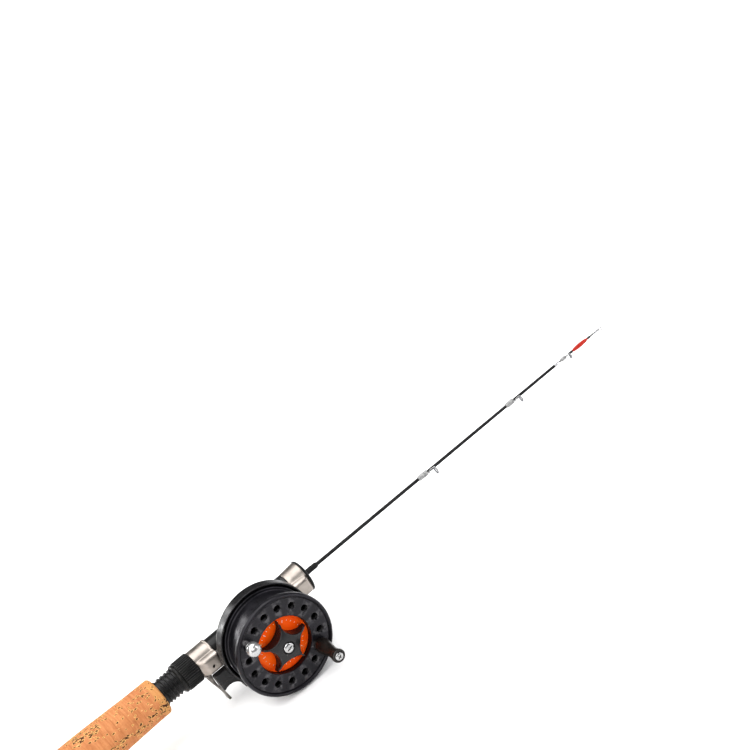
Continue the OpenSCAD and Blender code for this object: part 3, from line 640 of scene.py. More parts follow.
def nut():
    """Ribbed nut, with four broad ribs and a chamfered ring behind."""
    body_r, bore, ribs, per = 9.2, 7.9, 44, 10
    seg = ribs * per
    angle = around(seg)
    u = (angle * ribs / TURN) % 1.0
    which = np.round(angle * ribs / TURN).astype(int) % ribs
    valley = np.clip(1 - (np.abs((u + 0.5) % 1.0 - 0.5) / 0.33) ** 2, 0, 1) ** 0.5
    valley = np.where(which % 11 == 0, 0.0, valley)
    rows = [(bore, 0.0, 0), (8.0, 0.0, 0), (8.15, 0.05, 0), (8.8, 0.75, 0), (8.9, 1.0, 0), (8.9, 1.65, 0),
        (8.82, 1.82, 0), (8.4, 2.0, 0), (8.33, 2.15, 0), (8.35, 2.42, 0), (8.9, 2.45, 0), (9.1, 2.6, 0.5),
        (body_r, 3.0, 1), (body_r, 5.0, 1), (body_r, 7.4, 1), (body_r, 9.8, 1), (body_r, 11.6, 1),
        (9.12, 12.0, 0.6), (8.9, 12.22, 0.1), (8.6, 12.3, 0), (bore, 12.3, 0)]
    broad = np.clip(1.25 - np.abs((angle * 4 / TURN + 0.5) % 1.0 - 0.5) * 11, 0, 1)
    rings = []
    for r, h, cut in rows:
        rr = r - 0.38 * cut * valley + 0.16 * cut * np.minimum(broad, 1) ** 2
        rings.append(rod_axis(NUT_X).at(rr * np.cos(angle), rr * np.sin(angle), h))
    add_piece("thread_nut", np.array(rings), grid_faces(len(rings), seg, True, False), "nut", "nut_black",
        ["locking_nut"], 32)


def hood_radius(angle, tube_r, half, out):
    """Distance from the rod axis to the skin of a tube with a boxed pocket towards -Y."""
    toward, across = -np.cos(angle), np.abs(np.sin(angle))
    if out <= tube_r:
        return np.full_like(angle, tube_r)
    power = 6.5
    box = (np.clip(toward, 1e-4, 1) / out) ** power + (across / half) ** power
    box = np.where(toward > 0, box ** (-1 / power), 0)
    k = 0.5
    blend = np.clip(0.5 + 0.5 * (box - tube_r) / k, 0, 1)
    return tube_r + (box - tube_r) * blend + k * blend * (1 - blend) * 0.5


def hood(name, rows, body, nodes, hole=None):
    """A sheet-metal hood from rows of (x, tube radius, pocket half width, pocket reach, line depth)."""
    seg = 288
    angle = around(seg)
    rings = []
    for x, tube_r, half, out, crease in rows:
        r = hood_radius(angle, tube_r, half, out)
        z = r * np.sin(angle)
        if crease:
            lines = np.clip(1 - np.abs(z + half - 0.95) / 0.3, 0, 1) * (np.cos(angle) < -0.7)
            r = r - crease * lines
        rings.append(stacked(x, r * np.cos(angle), r * np.sin(angle)))
    pts = np.array(rings)
    obj = add_piece(name, pts, grid_faces(len(rings), seg, True, False), body, "hood_metal", nodes, 45,
        weighted=False)
    if hole:
        x, z, radius = hole
        cutter = turned(reel_axis(x, z), [(radius, 9.3), (radius, 11.22), (radius + 0.35, 11.6),
            (radius + 0.35, 13)], 32, False)
        carve(obj, scratch(*cutter))
        finish_carved(obj, body, "hood_metal", 38)
    else:
        weigh(obj)


def hoods():
    """The sliding hood, the fixed one and the cap in front; rows are x, tube, half, out, crease."""
    out, half, wall = 11.4, 5.5, 0.75
    round_only = (5, 0, 0)
    boxed, in_box = (half, out, 0), (half - wall, out - wall, 0)
    near_edge, edge = (half - 0.08, out - 0.12, 0), (half - 0.25, out - 0.3, 0)
    in_edge = (half - wall + 0.1, out - wall + 0.1, 0)
    x, end = HOOD_X, HOOD_X + HOOD_LEN
    rows = [(x + 0.02, 8.2, *round_only), (x, 8.45, *round_only), (x + 0.15, 8.6, *round_only),
        (x + 0.7, 8.6, half, 8.7, 0), (x + 1.2, 8.6, half, 9.2, 0), (x + 2.2, 8.6, half, 10.2, 0),
        (x + 3.0, 8.6, half, 11.0, 0), (x + 3.5, 8.6, half, 11.32, 0.1), (x + 4.2, 8.6, half, out, 0.3),
        (x + 6.5, 8.6, half, out, 0.34), (x + 9.0, 8.6, half, out, 0.34), (end - 1.9, 8.6, half, out, 0.34),
        (end - 1.25, 8.6, half, out, 0.3), (end - 1.05, 8.68, half, out, 0.1), (end - 0.85, 8.86, *boxed),
        (end - 0.3, 8.9, *boxed), (end - 0.05, 8.8, *near_edge), (end, 8.6, *edge), (end, 8.1, *in_edge),
        (end - 0.15, 7.9, *in_box), (end - 4, 7.9, *in_box), (x + 4.0, 7.9, *in_box),
        (x + 3.7, 7.9, half - wall, 8.4, 0), (x + 3.5, 7.9, *round_only), (x + 1, 7.9, *round_only),
        (x + 0.12, 7.9, *round_only)]
    hood("sliding_hood_shell", rows, "sliding_hood", ["rear_hood"], hole=(x + 6.9, -0.8, 0.85))
    x, end = FRONT_X, CAP_X - 1.7
    rows = [(x, 8.5, *edge), (x + 0.06, 8.75, *near_edge), (x + 0.25, 8.86, *boxed), (x + 2.5, 9.0, *boxed),
        (x + 5.5, 9.26, *boxed), (x + 7.9, 9.45, *boxed), (x + 8.6, 9.5, half, 11.2, 0),
        (x + 9.1, 9.55, half, 10.6, 0), (x + 9.5, 9.58, half, 9.9, 0), (end - 0.35, 9.6, *round_only),
        (end - 0.08, 9.52, *round_only), (end, 9.3, *round_only), (end, 8.0, *round_only),
        (end - 0.1, 7.84, *round_only), (x + 8.4, 7.84, *round_only), (x + 8.2, 7.84, half - wall, 8.4, 0),
        (x + 7.9, 7.84, *in_box), (x + 3, 7.84, *in_box), (x + 0.15, 7.84, *in_box), (x, 8.0, *in_edge)]
    hood("fixed_hood_shell", rows, "root", ["front_hood"])
    x = CAP_X - 1.7
    profile = [(1.76, x - 2.2), (7.6, x - 2.2), (7.6, x), (9.95, x), (10.05, x + 0.6), (9.62, x + 1.25),
        (8.7, CAP_X - 0.05), (6.9, CAP_X), (6.6, CAP_X - 0.22), (3.6, CAP_X - 0.22), (3.3, CAP_X),
        (1.76, CAP_X)]
    lathe("seat_end_cap", rod_axis(), profile, "root", "seat_black", ["front_cap"], 96, 0.25)


def spur():
    """The bent strip below the sliding hood, thicker and rounded at its free end."""
    low, high = cad("hood_spur")
    near, far = -high[1], -low[1]
    middle, half_width = (near + far) / 2, (far - near) / 2 - 0.02
    levels = [-5.6, -8, -11, -14.2, -17.4, -20.4, -23, -25.6, -27.35]
    rear = [0.35, 0.55, 1.25, 2.15, 3.05, 3.85, 4.35, 4.75, 5.0]
    front = [4.1, 3.9, 3.85, 4.05, 4.75, 5.55, 6.05, 6.45, 6.7]
    track = smooth_path([((r + f) / 2, z) for r, f, z in zip(rear, front, levels)], 5)
    half_thick = smooth_path([((f - r) / 2 * 0.92, z) for r, f, z in zip(rear, front, levels)], 5)[:, 0]
    tangent = np.gradient(track, axis=0)
    tangent /= np.linalg.norm(tangent, axis=1)[:, None]
    normal = np.stack([-tangent[:, 1], tangent[:, 0]], axis=1)
    seg = 40
    angle = around(seg)
    ca, sa = np.cos(angle), np.sin(angle)
    power = 0.35
    across = np.sign(ca) * np.abs(ca) ** power
    thick = np.sign(sa) * np.abs(sa) ** power
    count = len(track)
    rings = []
    for i in range(count):
        t = i / (count - 1)
        remain = 1 - t
        if t > 0.5:
            bulge = half_thick[i] * (0.86 + 0.16 * np.clip((t - 0.84) / 0.1, 0, 1))
        else:
            bulge = half_thick[i] * (1 - 0.28 * t)
        close = min(1.0, math.sqrt(max(0.0, 1 - (1 - min(1.0, remain / 0.035)) ** 2)) + 0.18)
        hw = half_width * (1 - 0.06 * t) * (0.55 + 0.45 * close)
        p = track[i][None, :] + normal[i][None, :] * (thick * bulge * close)[:, None]
        y = -middle + across * hw
        x, z = HOOD_X + p[:, 0], p[:, 1]
        keep = 8.35
        z = np.where(y * y + z * z < keep * keep, -np.sqrt(np.clip(keep * keep - y * y, 0, None)), z)
        rings.append(np.stack([x, y, z], axis=-1))
    obj = add_piece("finger_spur", np.array(rings), grid_faces(count, seg, False, True), "sliding_hood",
        "spur_metal", ["hood_spur"], 50)
    obj.data.materials.append(MATERIALS["spur_end"])
    limit = (track[-1][1] + 1.9) * MM
    for poly in obj.data.polygons:
        if poly.center.z < limit:
            poly.material_index = 1


# ---------------------------------------------------------------- blank and tip
def blank_parts():
    """Boot, tapered blank, tip, collar and bite marker."""
    sleeve_end = CAP_X + 9.2
    profile = [(1.2, CAP_X - 23.9), (1.68, CAP_X - 23.9), (1.7, CAP_X + 1.0), (1.7, sleeve_end - 3.4),
        (1.6, sleeve_end - 3.2), (1.6, sleeve_end - 2.9), (1.7, sleeve_end - 2.7), (1.68, sleeve_end - 1.1),
        (1.32, sleeve_end), (1.2, sleeve_end)]
    lathe("blank_boot", rod_axis(), profile, "root", "blank_black", ["blank_sleeve"], 64, 0.15)
    profile = [(0.46, CAP_X - 24.0)]
    profile += [(BLANK_R + 0.03 + (BLANK_END_R - BLANK_R - 0.03) * k / 60,
        CAP_X - 24 + (BLANK_END - CAP_X + 24) * k / 60) for k in range(61)]
    profile += [(0.46, BLANK_END)]
    # Shallow turns left by the tape that the carbon was wound under
    profile = [(r - 0.012 * (k % 2) if 2 < k < 60 else r, h) for k, (r, h) in enumerate(profile)]
    lathe("carbon_blank", rod_axis(), profile, "root", "blank_black", ["blank"], 64, 0, closed=True)
    profile = [(0.12, BLANK_END - 8.0), (TIP_R - 0.02, BLANK_END - 8.0)]
    profile += [(TIP_R - 0.01 * (k % 2), BLANK_END - 7.8 + (TIP_X - BLANK_END + 5.7) * k / 24)
        for k in range(25)]
    profile += [(0.12, TIP_X - 2.0)]
    lathe("solid_tip", rod_axis(), profile, "root", "tip_fibre", ["tip_section"], 48, 0.03, closed=False)
    x = BLANK_END - 0.5
    profile = [(0.9, x), (1.0, x + 0.05), (1.0, x + 0.6), (0.94, x + 0.7), (0.94, x + 0.85),
        (1.0, x + 0.95), (0.98, x + 1.6), (0.78, x + 2.6), (0.6, x + 3.75), (0.46, x + 3.8),
        (0.46, x + 1.6), (0.9, x + 1.5)]
    lathe("tip_collar", rod_axis(), profile, "root", "guide_metal", ["tip_ferrule"], 64, 0.06)
    x0, x1 = cad("tip_float")[0][0], cad("tip_float")[1][0]
    profile = [(0.46, x0), (0.62, x0 + 0.03), (0.7, x0 + 0.35), (0.72, x0 + 0.6)]
    profile += [(0.70 + 0.6 * math.sin(math.pi * k / 20) ** 0.55, x0 + 0.6 + (x1 - x0 - 1.2) * k / 20)
        for k in range(1, 20)]
    profile += [(0.72, x1 - 0.6), (0.7, x1 - 0.35), (0.62, x1 - 0.03), (0.46, x1)]
    lathe("bite_marker", rod_axis(), profile, "root", "float_red", ["tip_float"], 64, 0.05)
    stops = []
    for a, b, r in ((x0 - 2.9, x0 - 0.2, 0.8), (x1 + 0.2, x1 + 2.4, 0.7)):
        mid = (a + b) / 2
        ring = [(0.46, a), (r - 0.14, a), (r, a + 0.3), (r - 0.02, mid - 0.25), (r - 0.12, mid - 0.1),
            (r - 0.12, mid + 0.1), (r - 0.02, mid + 0.25), (r, b - 0.3), (r - 0.14, b), (0.46, b)]
        stops.append(turned(rod_axis(), rounded(ring, 0.08), 48))
    add_piece("marker_stops", *joined(stops), "root", "stop_black", ["float_stops"], 50)


def guides():
    """Three wire guides with their rings and bindings, and the ring at the tip."""
    scale = [0.42, 0.71, 0.885]
    foot_len, leg_len = (6.5, 5.5, 3.6), (3.4, 2.9, 1.6)
    ring_r, stand = (2.6, 2.2, 1.7), (4.3, 3.7, 2.8)
    wire = 0.26
    wraps, inserts = [], []

    def blank_r(x):
        return BLANK_R - 0.25 * (x - CAP_X) / (0.84 * BLANK_LEN)

    for i, node in enumerate(("guide_large", "guide_middle", "guide_small")):
        gx = CAP_X + scale[i] * BLANK_LEN
        seat_r = (blank_r(gx - 10), blank_r(gx - 9), TIP_R)[i]
        foot_y = -seat_r - wire - 0.04
        foot = (gx - leg_len[i] - foot_len[i], gx - leg_len[i])
        centre = np.array([gx, -stand[i], 0])
        parts = []
        spread = around(56)
        rr = ring_r[i] - 0.2
        circle = [centre + (0, rr * math.cos(t), rr * math.sin(t)) for t in spread]
        parts.append(tube(circle, 0.22, 14, True))
        for side in (-1, 1):
            gap = 0.24
            low = (foot[1] - 0.2, foot_y - 0.05, side * gap)
            path = [(foot[0], foot_y, side * 0.03), (foot[0] + 0.5 * foot_len[i], foot_y, side * 0.04),
                (foot[1] - 1.1, foot_y, side * 0.06), low,
                (foot[1] + 0.45 * leg_len[i], foot_y - 0.42 * (stand[i] + foot_y), side * 0.62 * ring_r[i]),
                (gx - 0.12, -stand[i] + 0.15, side * (ring_r[i] + 0.02)),
                (gx - 0.02, -stand[i] - 0.35 * ring_r[i], side * (ring_r[i] * 0.93))]
            bend = smooth_path(path, 7)
            taper = np.interp(np.arange(len(bend)), [0, 8, len(bend) - 6, len(bend) - 1],
                [0.12, wire * 0.8, wire * 0.8, 0.14])
            parts.append(tube(bend, taper, 12))
        add_piece(node + "_frame", *joined(parts), "root", "guide_metal", [node], 60, weighted=False)
        profile = []
        for k in range(20):
            t = TURN * k / 20
            profile.append((ring_r[i] - 0.66 + 0.2 * math.cos(t), 0.46 * math.sin(t)))
        inserts.append(turned(rod_axis(gx, -stand[i], 0), profile, 56))
        x0, x1 = foot[0] - 0.8, foot[1] - 0.5
        full = seat_r + 2 * wire + 0.16
        turns = int((x1 - x0) / 0.16)
        profile = [(seat_r + 0.02, x0), (seat_r + 0.12, x0)]
        for k in range(turns * 2):
            x = x0 + 0.1 + (x1 - x0 - 0.25) * k / (turns * 2 - 1)
            rise = min(1.0, (x - x0) / 0.9, (x1 - x) / 0.35 + 0.5)
            profile.append((seat_r + 0.15 + (full - seat_r - 0.15) * rise - 0.045 * (k % 2), x))
        profile += [(seat_r + 0.12, x1), (seat_r + 0.02, x1)]
        wraps.append(turned(rod_axis(), profile, 48))
    add_piece("ring_inserts", *joined(inserts), "root", "insert_grey", ["guide_inserts"], 60,
        weighted=False)
    add_piece("thread_wraps", *joined(wraps), "root", "wrap_thread", ["guide_wraps"], 80, weighted=False)
    ring_r = 1.5
    at = TIP_X - 0.45
    circle = [(at, -ring_r - 0.25 + 1.25 * math.cos(t), 1.25 * math.sin(t)) for t in around(48)]
    parts = [tube(circle, 0.24, 14, True)]
    sleeve = [(0.46, TIP_X - 6.2), (0.62, TIP_X - 6.15), (0.68, TIP_X - 5.8), (0.68, TIP_X - 4.2),
        (0.63, TIP_X - 4.05), (0.63, TIP_X - 3.85), (0.68, TIP_X - 3.7), (0.66, TIP_X - 1.7),
        (0.5, TIP_X - 1.5), (0.46, TIP_X - 1.5)]
    parts.append(turned(rod_axis(), rounded(sleeve, 0.06), 40))
    for side in (-1, 1):
        path = smooth_path([(TIP_X - 2.6, -0.35, side * 0.42), (TIP_X - 1.7, -0.5, side * 0.6),
            (TIP_X - 0.9, -0.95, side * 0.95), (at, -1.35, side * 1.22)], 5)
        parts.append(tube(path, 0.16, 10))
    add_piece("tip_ring", *joined(parts), "root", "guide_metal", ["tip_top"], 60, weighted=False)


# ---------------------------------------------------------------- reel
def reel_body():
    """The dish behind the spool, with the notched arm that runs back below the hood."""
    rim_front, back, plate = -cad("reel_frame")[0][1], 10.5, 13.0
    outer, inner = 29.5, 28.3
    profile = [(0.4, back), (4.0, back), (9.0, back), (20.0, back), (23.6, back), (24.4, back),
        (25.4, back + 0.3), (27.7, back + 1.75), (29.1, back + 2.85), (outer, back + 4.0),
        (outer, rim_front - 0.3), (outer - 0.3, rim_front), (inner + 0.3, rim_front),
        (inner, rim_front - 0.35), (inner, plate + 2.8), (inner - 0.5, plate + 1.5),
        (inner - 1.5, plate + 0.5), (inner - 2.7, plate + 0.02), (12.5, plate), (12.0, plate - 0.4),
        (9.5, plate - 0.4), (9.0, plate), (0.4, plate)]
    dish = turned(reel_axis(), rounded(profile, 0.3, 3, False), REEL_SEGMENTS, False)
    obj = add_piece("reel_frame_dish", *dish, "root", "reel_black", ["reel_frame"], 30, weighted=False)
    notch = (-72.3, -23.1)
    arc = [(notch[0] + 7.1 * math.cos(t), notch[1] + 7.1 * math.sin(t))
        for t in np.linspace(math.radians(114), math.radians(-4), 30)]
    prong = [(-76.72, -16.35), (-76.6, -16.7), (-76.4, -16.95), (-76.1, -17.02), (-75.7, -16.88)]
    heel = [(-65.1, -23.95), (-64.75, -24.3), (-64.2, -24.4)]
    corners = rounded([(-64.2, -24.4), (-58, -21), (-57, -9), (-66, -6.15), (-77.4, -6.15), prong[0]], 1.2,
        5, False)
    outline = [(x + CAP_X, z) for x, z in list(corners)[1:] + prong[1:] + arc + heel]
    flat = reel_axis(0, 0)
    arm_back = 8.7
    carve(obj, scratch(*slab(flat, outline, arm_back, plate - 0.02, 0.2)), "UNION")
    bore = turned(reel_axis(), [(2.55, 5), (2.55, 30)], 48, False)
    carve(obj, scratch(*bore))
    shaft = turned(reel_axis(REEL_X, REEL_Z - 14.4), [(1.36, 5), (1.36, 30)], 32, False)
    carve(obj, scratch(*shaft))
    finish_carved(obj, "root", "reel_black", 30)


def reel_spool():
    """Pierced flange, open barrel, rear flange and hub, in one piece."""
    flange_r, arbor, arbor_in = 29.97, 25.4, 24.75
    rear0, rear1, rear_r = 18.2, 20.5, 27.3
    recess, wall = 16.8, 1.5
    back = 35.3
    lip = LIP
    crown = [(flange_r - 2.55, FACE), (flange_r - 2.6, FACE - 0.42), (flange_r - 2.3, FACE - 0.42),
        (flange_r - 2.22, FACE + 0.3), (flange_r - 1.95, lip - 0.5), (flange_r - 1.6, lip - 0.14),
        (flange_r - 1.2, lip), (flange_r - 0.8, lip - 0.1), (flange_r - 0.4, lip - 0.45),
        (flange_r - 0.12, lip - 1.0), (flange_r, FACE - 0.3), (flange_r, back + 1.3),
        (flange_r - 0.14, back + 0.6), (flange_r - 0.6, back)]
    profile = [(recess + 0.35, FACE), (flange_r - 2.9, FACE)] + crown
    profile += [(arbor + 0.5, back), (arbor, back - 0.5), (arbor, rear1 + 0.5), (arbor + 0.5, rear1),
        (rear_r - 0.35, rear1), (rear_r, rear1 - 0.35), (rear_r, rear0 + 0.4), (rear_r - 0.4, rear0),
        (arbor_in + 0.2, rear0), (arbor_in, rear0 + 0.2), (arbor_in, back - 0.1),
        (recess + wall, back - 0.1), (recess + wall, 31.4), (8.5, 31.4), (8.5, 16.2), (6.05, 16.2),
        (6.05, 20.1), (4.65, 20.1), (4.65, 28.9), (6.05, 28.9), (6.05, 33.7), (recess, 33.7),
        (recess, FACE - 0.35)]
    pts, faces = turned(reel_axis(), rounded(profile, 0.16, 2), REEL_SEGMENTS)
    obj = add_piece("line_spool", pts, faces, "spool", "spool_black", ["spool"], 28, weighted=False)
    cutters = []
    hole, count = 2.1, 16
    for i in range(count):
        a = KNOB_ANGLE + i * TURN / count
        x, z = REEL_X + HOLE_RING * math.cos(a), REEL_Z + HOLE_RING * math.sin(a)
        r = hole if i % (count // 2) else 1.57
        mouth = r + 0.36
        profile = [(r, 34.0), (r, FACE - 0.36), (mouth, FACE), (mouth, FACE + 1)]
        cutters.append(turned(reel_axis(x, z), profile, 40, False))
    carve(obj, scratch(*joined(cutters)))
    finish_carved(obj, "spool", "spool_black", 28)


def disc():
    """Orange plate on the recess floor, with a fine groove and plain tick marks."""
    low, high = cad("spool_disc")
    back, front = -high[1], -low[1]
    r, bore = 16.7, 6.4
    profile = [(bore, back), (r, back), (r, front - 0.15), (r - 0.25, front), (r - 0.9, front),
        (r - 1.05, front - 0.15), (r - 1.3, front - 0.15), (r - 1.45, front), (bore + 0.9, front),
        (bore + 0.75, front - 0.12), (bore + 0.2, front - 0.12), (bore, front - 0.3)]
    plate = turned(reel_axis(), rounded(profile, 0.05, 2), 144)
    marks = []
    flat = reel_axis()
    for i in range(30):
        a = i * math.pi / 15
        inner = 12.7 if i % 5 else 11.8
        half = 0.12 if i % 5 else 0.16
        ca, sa = math.cos(a), math.sin(a)
        corner = [(inner, -half), (13.5, -half), (13.5, half), (inner, half)]
        outline = [(u * ca - v * sa, u * sa + v * ca) for u, v in corner]
        marks.append(slab(flat, outline, front - 0.1, front + 0.03, 0.02))
    obj = add_piece("drag_plate", *joined([plate] + marks), "spool", "disc_orange", ["spool_disc"], 30)
    obj.data.materials.append(MATERIALS["disc_mark"])
    first = len(plate[1])
    for poly in obj.data.polygons:
        if poly.index >= first:
            poly.material_index = 1


def star():
    """Five points with hollow sides, tall walls and a low dome with a counterbore."""
    low, high = cad("star_knob")
    top, bottom = -low[1], -high[1]
    points, phase, reach, valley = 5, math.radians(7), 15.8, 7.6
    half = math.pi / points
    chord = reach * math.sin(half)
    sag = reach * math.cos(half) - valley
    side_r = (chord * chord + sag * sag) / (2 * sag)
    clip_r = reach - 0.35
    outline = []
    for i in range(points):
        mid = phase + (i + 0.5) * 2 * half
        swing = math.asin(chord / side_r)
        for t in np.linspace(-1, 1, 45):
            b = swing * math.copysign(abs(t) ** 0.8, t)
            u, v = valley + side_r * (1 - math.cos(b)), side_r * math.sin(b)
            rad = math.hypot(u, v)
            if rad > clip_r:
                continue
            outline.append((u * math.cos(mid) - v * math.sin(mid), u * math.sin(mid) + v * math.cos(mid)))
        tip = phase + (i + 1) * 2 * half
        spread = 0.022
        for t in (-0.5, 0, 0.5):
            outline.append((clip_r * math.cos(tip + t * spread), clip_r * math.sin(tip + t * spread)))
    outline.sort(key=lambda p: math.atan2(p[1], p[0]))
    outline = np.array(outline)
    radius = np.linalg.norm(outline, axis=1)
    edge_top = FACE - 0.4

    def dome(r):
        return edge_top + (top - edge_top) * np.cos(0.5 * math.pi * np.clip(r / 17.0, 0, 1) ** 1.15)

    axis = reel_axis()
    rings = []

    def ring(shape, height):
        rings.append(axis.at(shape[:, 0], shape[:, 1], height))

    bore = outline / radius[:, None]
    ring(bore * 2.6, bottom)
    ring(inset(outline, 0.35), bottom)
    ring(inset(outline, 0.08), bottom + 0.1)
    ring(outline, bottom + 0.45)
    rim = dome(radius)
    for share in (0.25, 0.5, 0.75):
        ring(inset(outline, 0.12 * share), bottom + 0.45 + (rim - 0.55 - bottom - 0.45) * share)
    ring(inset(outline, 0.12), rim - 0.5)
    ring(inset(outline, 0.2), rim - 0.22)
    ring(inset(outline, 0.38), rim - 0.06)
    inner = inset(outline, 0.62)
    ring(inner, dome(np.linalg.norm(inner, axis=1)))
    seat_r = 3.95
    for share in np.linspace(0.93, 0.12, 14):
        shape = bore * seat_r + (inner - bore * seat_r) * share
        ring(shape, dome(np.linalg.norm(shape, axis=1)))
    ring(bore * seat_r, dome(seat_r))
    ring(bore * 3.72, dome(seat_r) - 0.06)
    ring(bore * 3.5, dome(seat_r) - 0.32)
    ring(bore * 3.5, 40.55)
    ring(bore * 2.6, 40.55)
    add_piece("star_dial", np.array(rings), grid_faces(len(rings), len(outline), True, False), "star",
        "star_black", ["star_knob"], 42)


def cross_cut(axis, size, width, top, depth, turn):
    """Cutter for a cross recess: two tapered bars."""
    parts = []
    for extra in (0, math.pi / 2):
        ca, sa = math.cos(turn + extra), math.sin(turn + extra)
        rings = []
        for h, grow in ((top - depth, 0.5), (top + 0.6, 1.08)):
            bar = [(a * size * grow, b * width * grow) for a, b in ((-1, -1), (1, -1), (1, 1), (-1, 1))]
            x = np.array([u * ca - v * sa for u, v in bar])
            y = np.array([u * sa + v * ca for u, v in bar])
            rings.append(axis.at(x, y, h))
        parts.append((np.array(rings), grid_faces(2, 4, False, True)))
    return parts


def screw(name, axis, profile, body, nodes, size, width, top, depth, turn):
    """A chrome screw head with a cross recess."""
    pts, faces = turned(axis, rounded(profile, 0.18, 3, False), 64, False)
    obj = add_piece(name, pts, faces, body, "screw_chrome", nodes, 35, weighted=False)
    for part in cross_cut(axis, size, width, top, depth, turn):
        carve(obj, scratch(*part))
    finish_carved(obj, body, "screw_chrome", 32)


def knob_group():
    """The star's screw, the winding knob with its screw, and the ball."""
    top = -cad("star_screw")[0][1]
    seat, bottom = 40.8, 35.6
    profile = [(0.2, 35.2), (1.2, 35.2), (1.4, 35.6), (1.4, seat + 0.02), (3.1, seat + 0.02),
        (3.2, seat + 0.2), (3.2, seat + 1.75), (2.85, seat + 2.3), (2.1, seat + 2.72), (1.1, top - 0.02),
        (0.2, top)]
    screw("dial_screw", reel_axis(), profile, "root", ["star_screw"], 1.95, 0.42, top, 1.35,
        math.radians(20))

    axis = reel_axis(*KNOB_AT)
    z0 = 39.0
    length = 19.6
    end = z0 + length
    steps = 16
    profile = [(1.63, z0), (3.6, z0), (4.2, z0 + 0.35), (4.3, z0 + 1.0)]
    for k in range(1, steps + 1):
        t = k / steps
        profile.append((3.0 + 1.5 * math.cos(math.pi * t * 0.62) ** 2 + 0.35 * t ** 3,
            z0 + 0.6 + (length - 3.4) * t))
    profile += [(3.42, end - 2.7), (3.12, end - 2.55), (3.12, end - 2.3), (3.9, end - 2.15),
        (3.97, end - 1.4), (3.93, end - 0.55), (3.55, end), (2.9, end), (2.78, end - 0.2),
        (2.78, end - 1.28), (1.63, end - 1.3)]
    obj = lathe("winding_grip", axis, profile, "winding_knob", "star_black", ["handle_knob"], 96, 0.16,
        sharp=40)
    obj.data.materials[0] = MATERIALS["knob_brown"]
    head = FACE + 20.3 - 0.9
    profile = [(0.2, bottom), (1.4, bottom), (1.54, 35.8), (1.54, head), (2.4, head), (2.5, head + 0.15),
        (2.5, head + 0.85), (2.2, head + 1.25), (1.5, head + 1.52), (0.2, head + 1.58)]
    screw("grip_screw", axis, profile, "spool", ["handle_post"], 1.5, 0.34, head + 1.58, 1.1,
        math.radians(38))

    axis = reel_axis(*BALL_AT)
    ball, mid = 4.25, FACE + 4.8
    profile = [(0.2, bottom), (1.54, bottom), (1.54, FACE + 0.05), (2.45, FACE + 0.05), (2.55, FACE + 0.25),
        (2.4, FACE + 0.65), (2.15, FACE + 0.95)]
    first, last = math.radians(-52), math.radians(87)
    profile += [(ball * math.cos(t), mid + ball * math.sin(t)) for t in np.linspace(first, last, 40)]
    lathe("balance_ball", axis, profile, "spool", "ball_chrome", ["balance_weight"], 96, 0.06, closed=False,
        sharp=30)


# ---------------------------------------------------------------- CAD pieces that stay
def keep_cad():
    """Inner and plain pieces keep their CAD mesh, with their finish and softened edges."""
    finish = {"handle_core": "core_fibre", "reel_foot": "reel_black", "foot_screws": "screw_steel",
        "spindle": "shaft_steel", "rear_bearing": "bearing_steel", "front_bearing": "bearing_steel",
        "click_gear": "click_brass", "click_pawl": "shaft_steel", "click_shaft": "shaft_steel",
        "click_knob": "nut_black", "click_spring": "shaft_steel", "friction_washer": "washer_fibre",
        "spring_washer": "shaft_steel", "knob_washer": "click_brass"}
    soft = {"reel_foot": 0.25, "click_knob": 0.12, "click_pawl": 0.08, "knob_washer": 0.06}
    for node, slot in finish.items():
        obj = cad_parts[node]
        obj.data.materials.clear()
        obj.data.materials.append(MATERIALS[slot])
        if node in soft:
            mod = obj.modifiers.new("soft_edges", "BEVEL")
            mod.width = soft[node] * MM
            mod.segments = 2
            mod.limit_method = "ANGLE"
            mod.angle_limit = math.radians(40)


# ---------------------------------------------------------------- camera, floor, light
CAMERA_EYE = Vector((-0.1061, -1.1671, 0.7990))
VIEW_AZIMUTH = math.radians(-19.82)
VIEW_ELEVATION = math.radians(30.35)
VIEW_ROLL = math.radians(-28.75)
LENS_MM = 124.2
FLOOR_Z = -0.0325
TARGET = Vector((REEL_X, -25, REEL_Z)) * MM


def look_from(place, target):
    """A rotation that turns a light's -Z from place to target."""
    return (target - place).to_track_quat("-Z", "Y").to_matrix().to_4x4()


def make_camera():
    """The camera fitted to the photo's view."""
    camera = bpy.data.objects.new("camera", bpy.data.cameras.new("camera"))
    bpy.context.scene.collection.objects.link(camera)
    a, e = VIEW_AZIMUTH, VIEW_ELEVATION
    back = Vector((math.sin(a) * math.cos(e), -math.cos(a) * math.cos(e), math.sin(e)))
    right = Vector((math.cos(a), math.sin(a), 0))
    up = back.cross(right)
    rolled_right = right * math.cos(VIEW_ROLL) + up * math.sin(VIEW_ROLL)
    rolled_up = back.cross(rolled_right)
    turn = Matrix((rolled_right, rolled_up, back)).transposed()
    camera.matrix_world = Matrix.Translation(CAMERA_EYE) @ turn.to_4x4()
    camera.data.sensor_width = 36
    camera.data.lens = LENS_MM
    camera.data.clip_start = 0.01
    camera.data.clip_end = 20
    bpy.context.scene.camera = camera


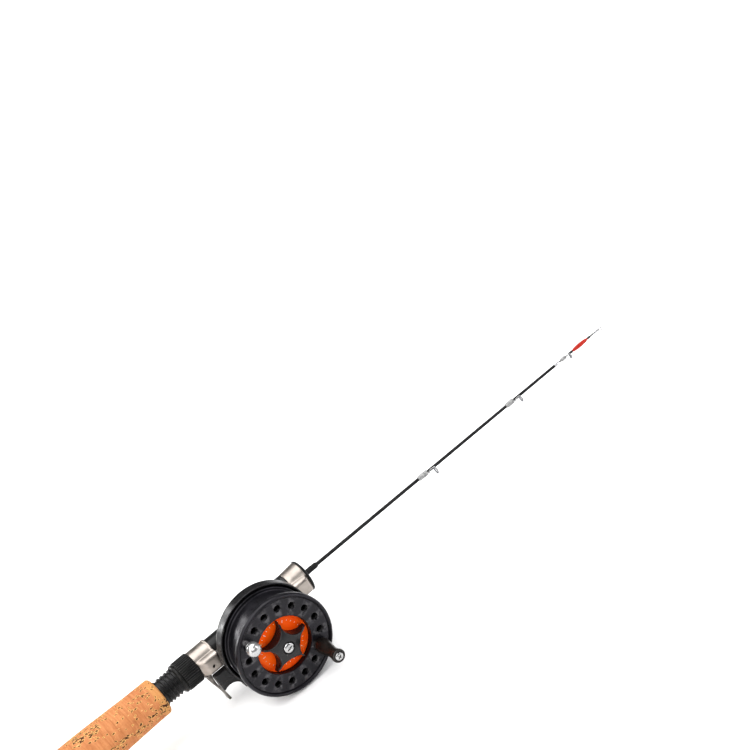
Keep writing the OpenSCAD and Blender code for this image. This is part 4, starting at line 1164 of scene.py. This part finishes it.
def soft_light(name, place, size, power, colour=(1, 1, 1)):
    light = bpy.data.lights.new(name, "AREA")
    light.shape = "RECTANGLE"
    light.size, light.size_y = size
    light.energy = power
    light.color = colour
    obj = bpy.data.objects.new(name, light)
    bpy.context.scene.collection.objects.link(obj)
    obj.matrix_world = Matrix.Translation(place) @ look_from(place, TARGET)


def studio():
    """White floor, dim white surroundings and soft boxes above, in front and behind."""
    bpy.context.scene.view_settings.view_transform = "Standard"
    bpy.context.scene.view_settings.look = "Medium High Contrast"
    span, step = 3.0, 12
    points = [(x * span / step, y * span / step, FLOOR_Z) for y in range(-step, step + 1)
        for x in range(-step, step + 1)]
    wide = 2 * step + 1
    faces = [(j * wide + i, j * wide + i + 1, (j + 1) * wide + i + 1, (j + 1) * wide + i)
        for j in range(wide - 1) for i in range(wide - 1)]
    floor = new_object("floor", points, faces, 1.0)
    n = Nodes("floor_white")
    n.link(n.mix(n.ramp(n.noise(3.0, 2), 0.3, 0.7), (0.93, 0.93, 0.93), (0.95, 0.95, 0.95)),
        n.shader.inputs["Base Color"])
    n.set(Roughness=0.9, Specular_IOR_Level=0.1)
    floor.data.materials.append(n.mat)
    world = bpy.data.worlds.new("soft_world")
    bpy.context.scene.world = world
    world.use_nodes = True
    background = world.node_tree.nodes["Background"]
    background.inputs["Color"].default_value = (1, 1, 1, 1)
    background.inputs["Strength"].default_value = 0.16
    soft_light("overhead", Vector((0.1, 0.12, 1.55)), (2.8, 1.5), 42.0)
    soft_light("front_strip", Vector((-0.30, -1.45, 1.30)), (1.6, 0.8), 10.5)
    soft_light("left_box", Vector((-1.15, -0.35, 0.55)), (0.7, 1.1), 8.0, (1.0, 0.975, 0.95))
    soft_light("right_box", Vector((1.3, -0.8, 0.55)), (0.5, 1.0), 7.0, (0.97, 0.96, 1.0))
    soft_light("back_strip_high", Vector((-0.28, 1.3, 0.8)), (0.22, 0.7), 5.0)
    soft_light("back_strip_low", Vector((-0.62, 1.25, 0.42)), (0.16, 0.5), 5.0)


# ---------------------------------------------------------------- build
make_camera()
make_materials()
cork_grip()
butt()
seat()
nut()
hoods()
spur()
blank_parts()
guides()
reel_body()
reel_spool()
disc()
star()
knob_group()
keep_cad()
studio()
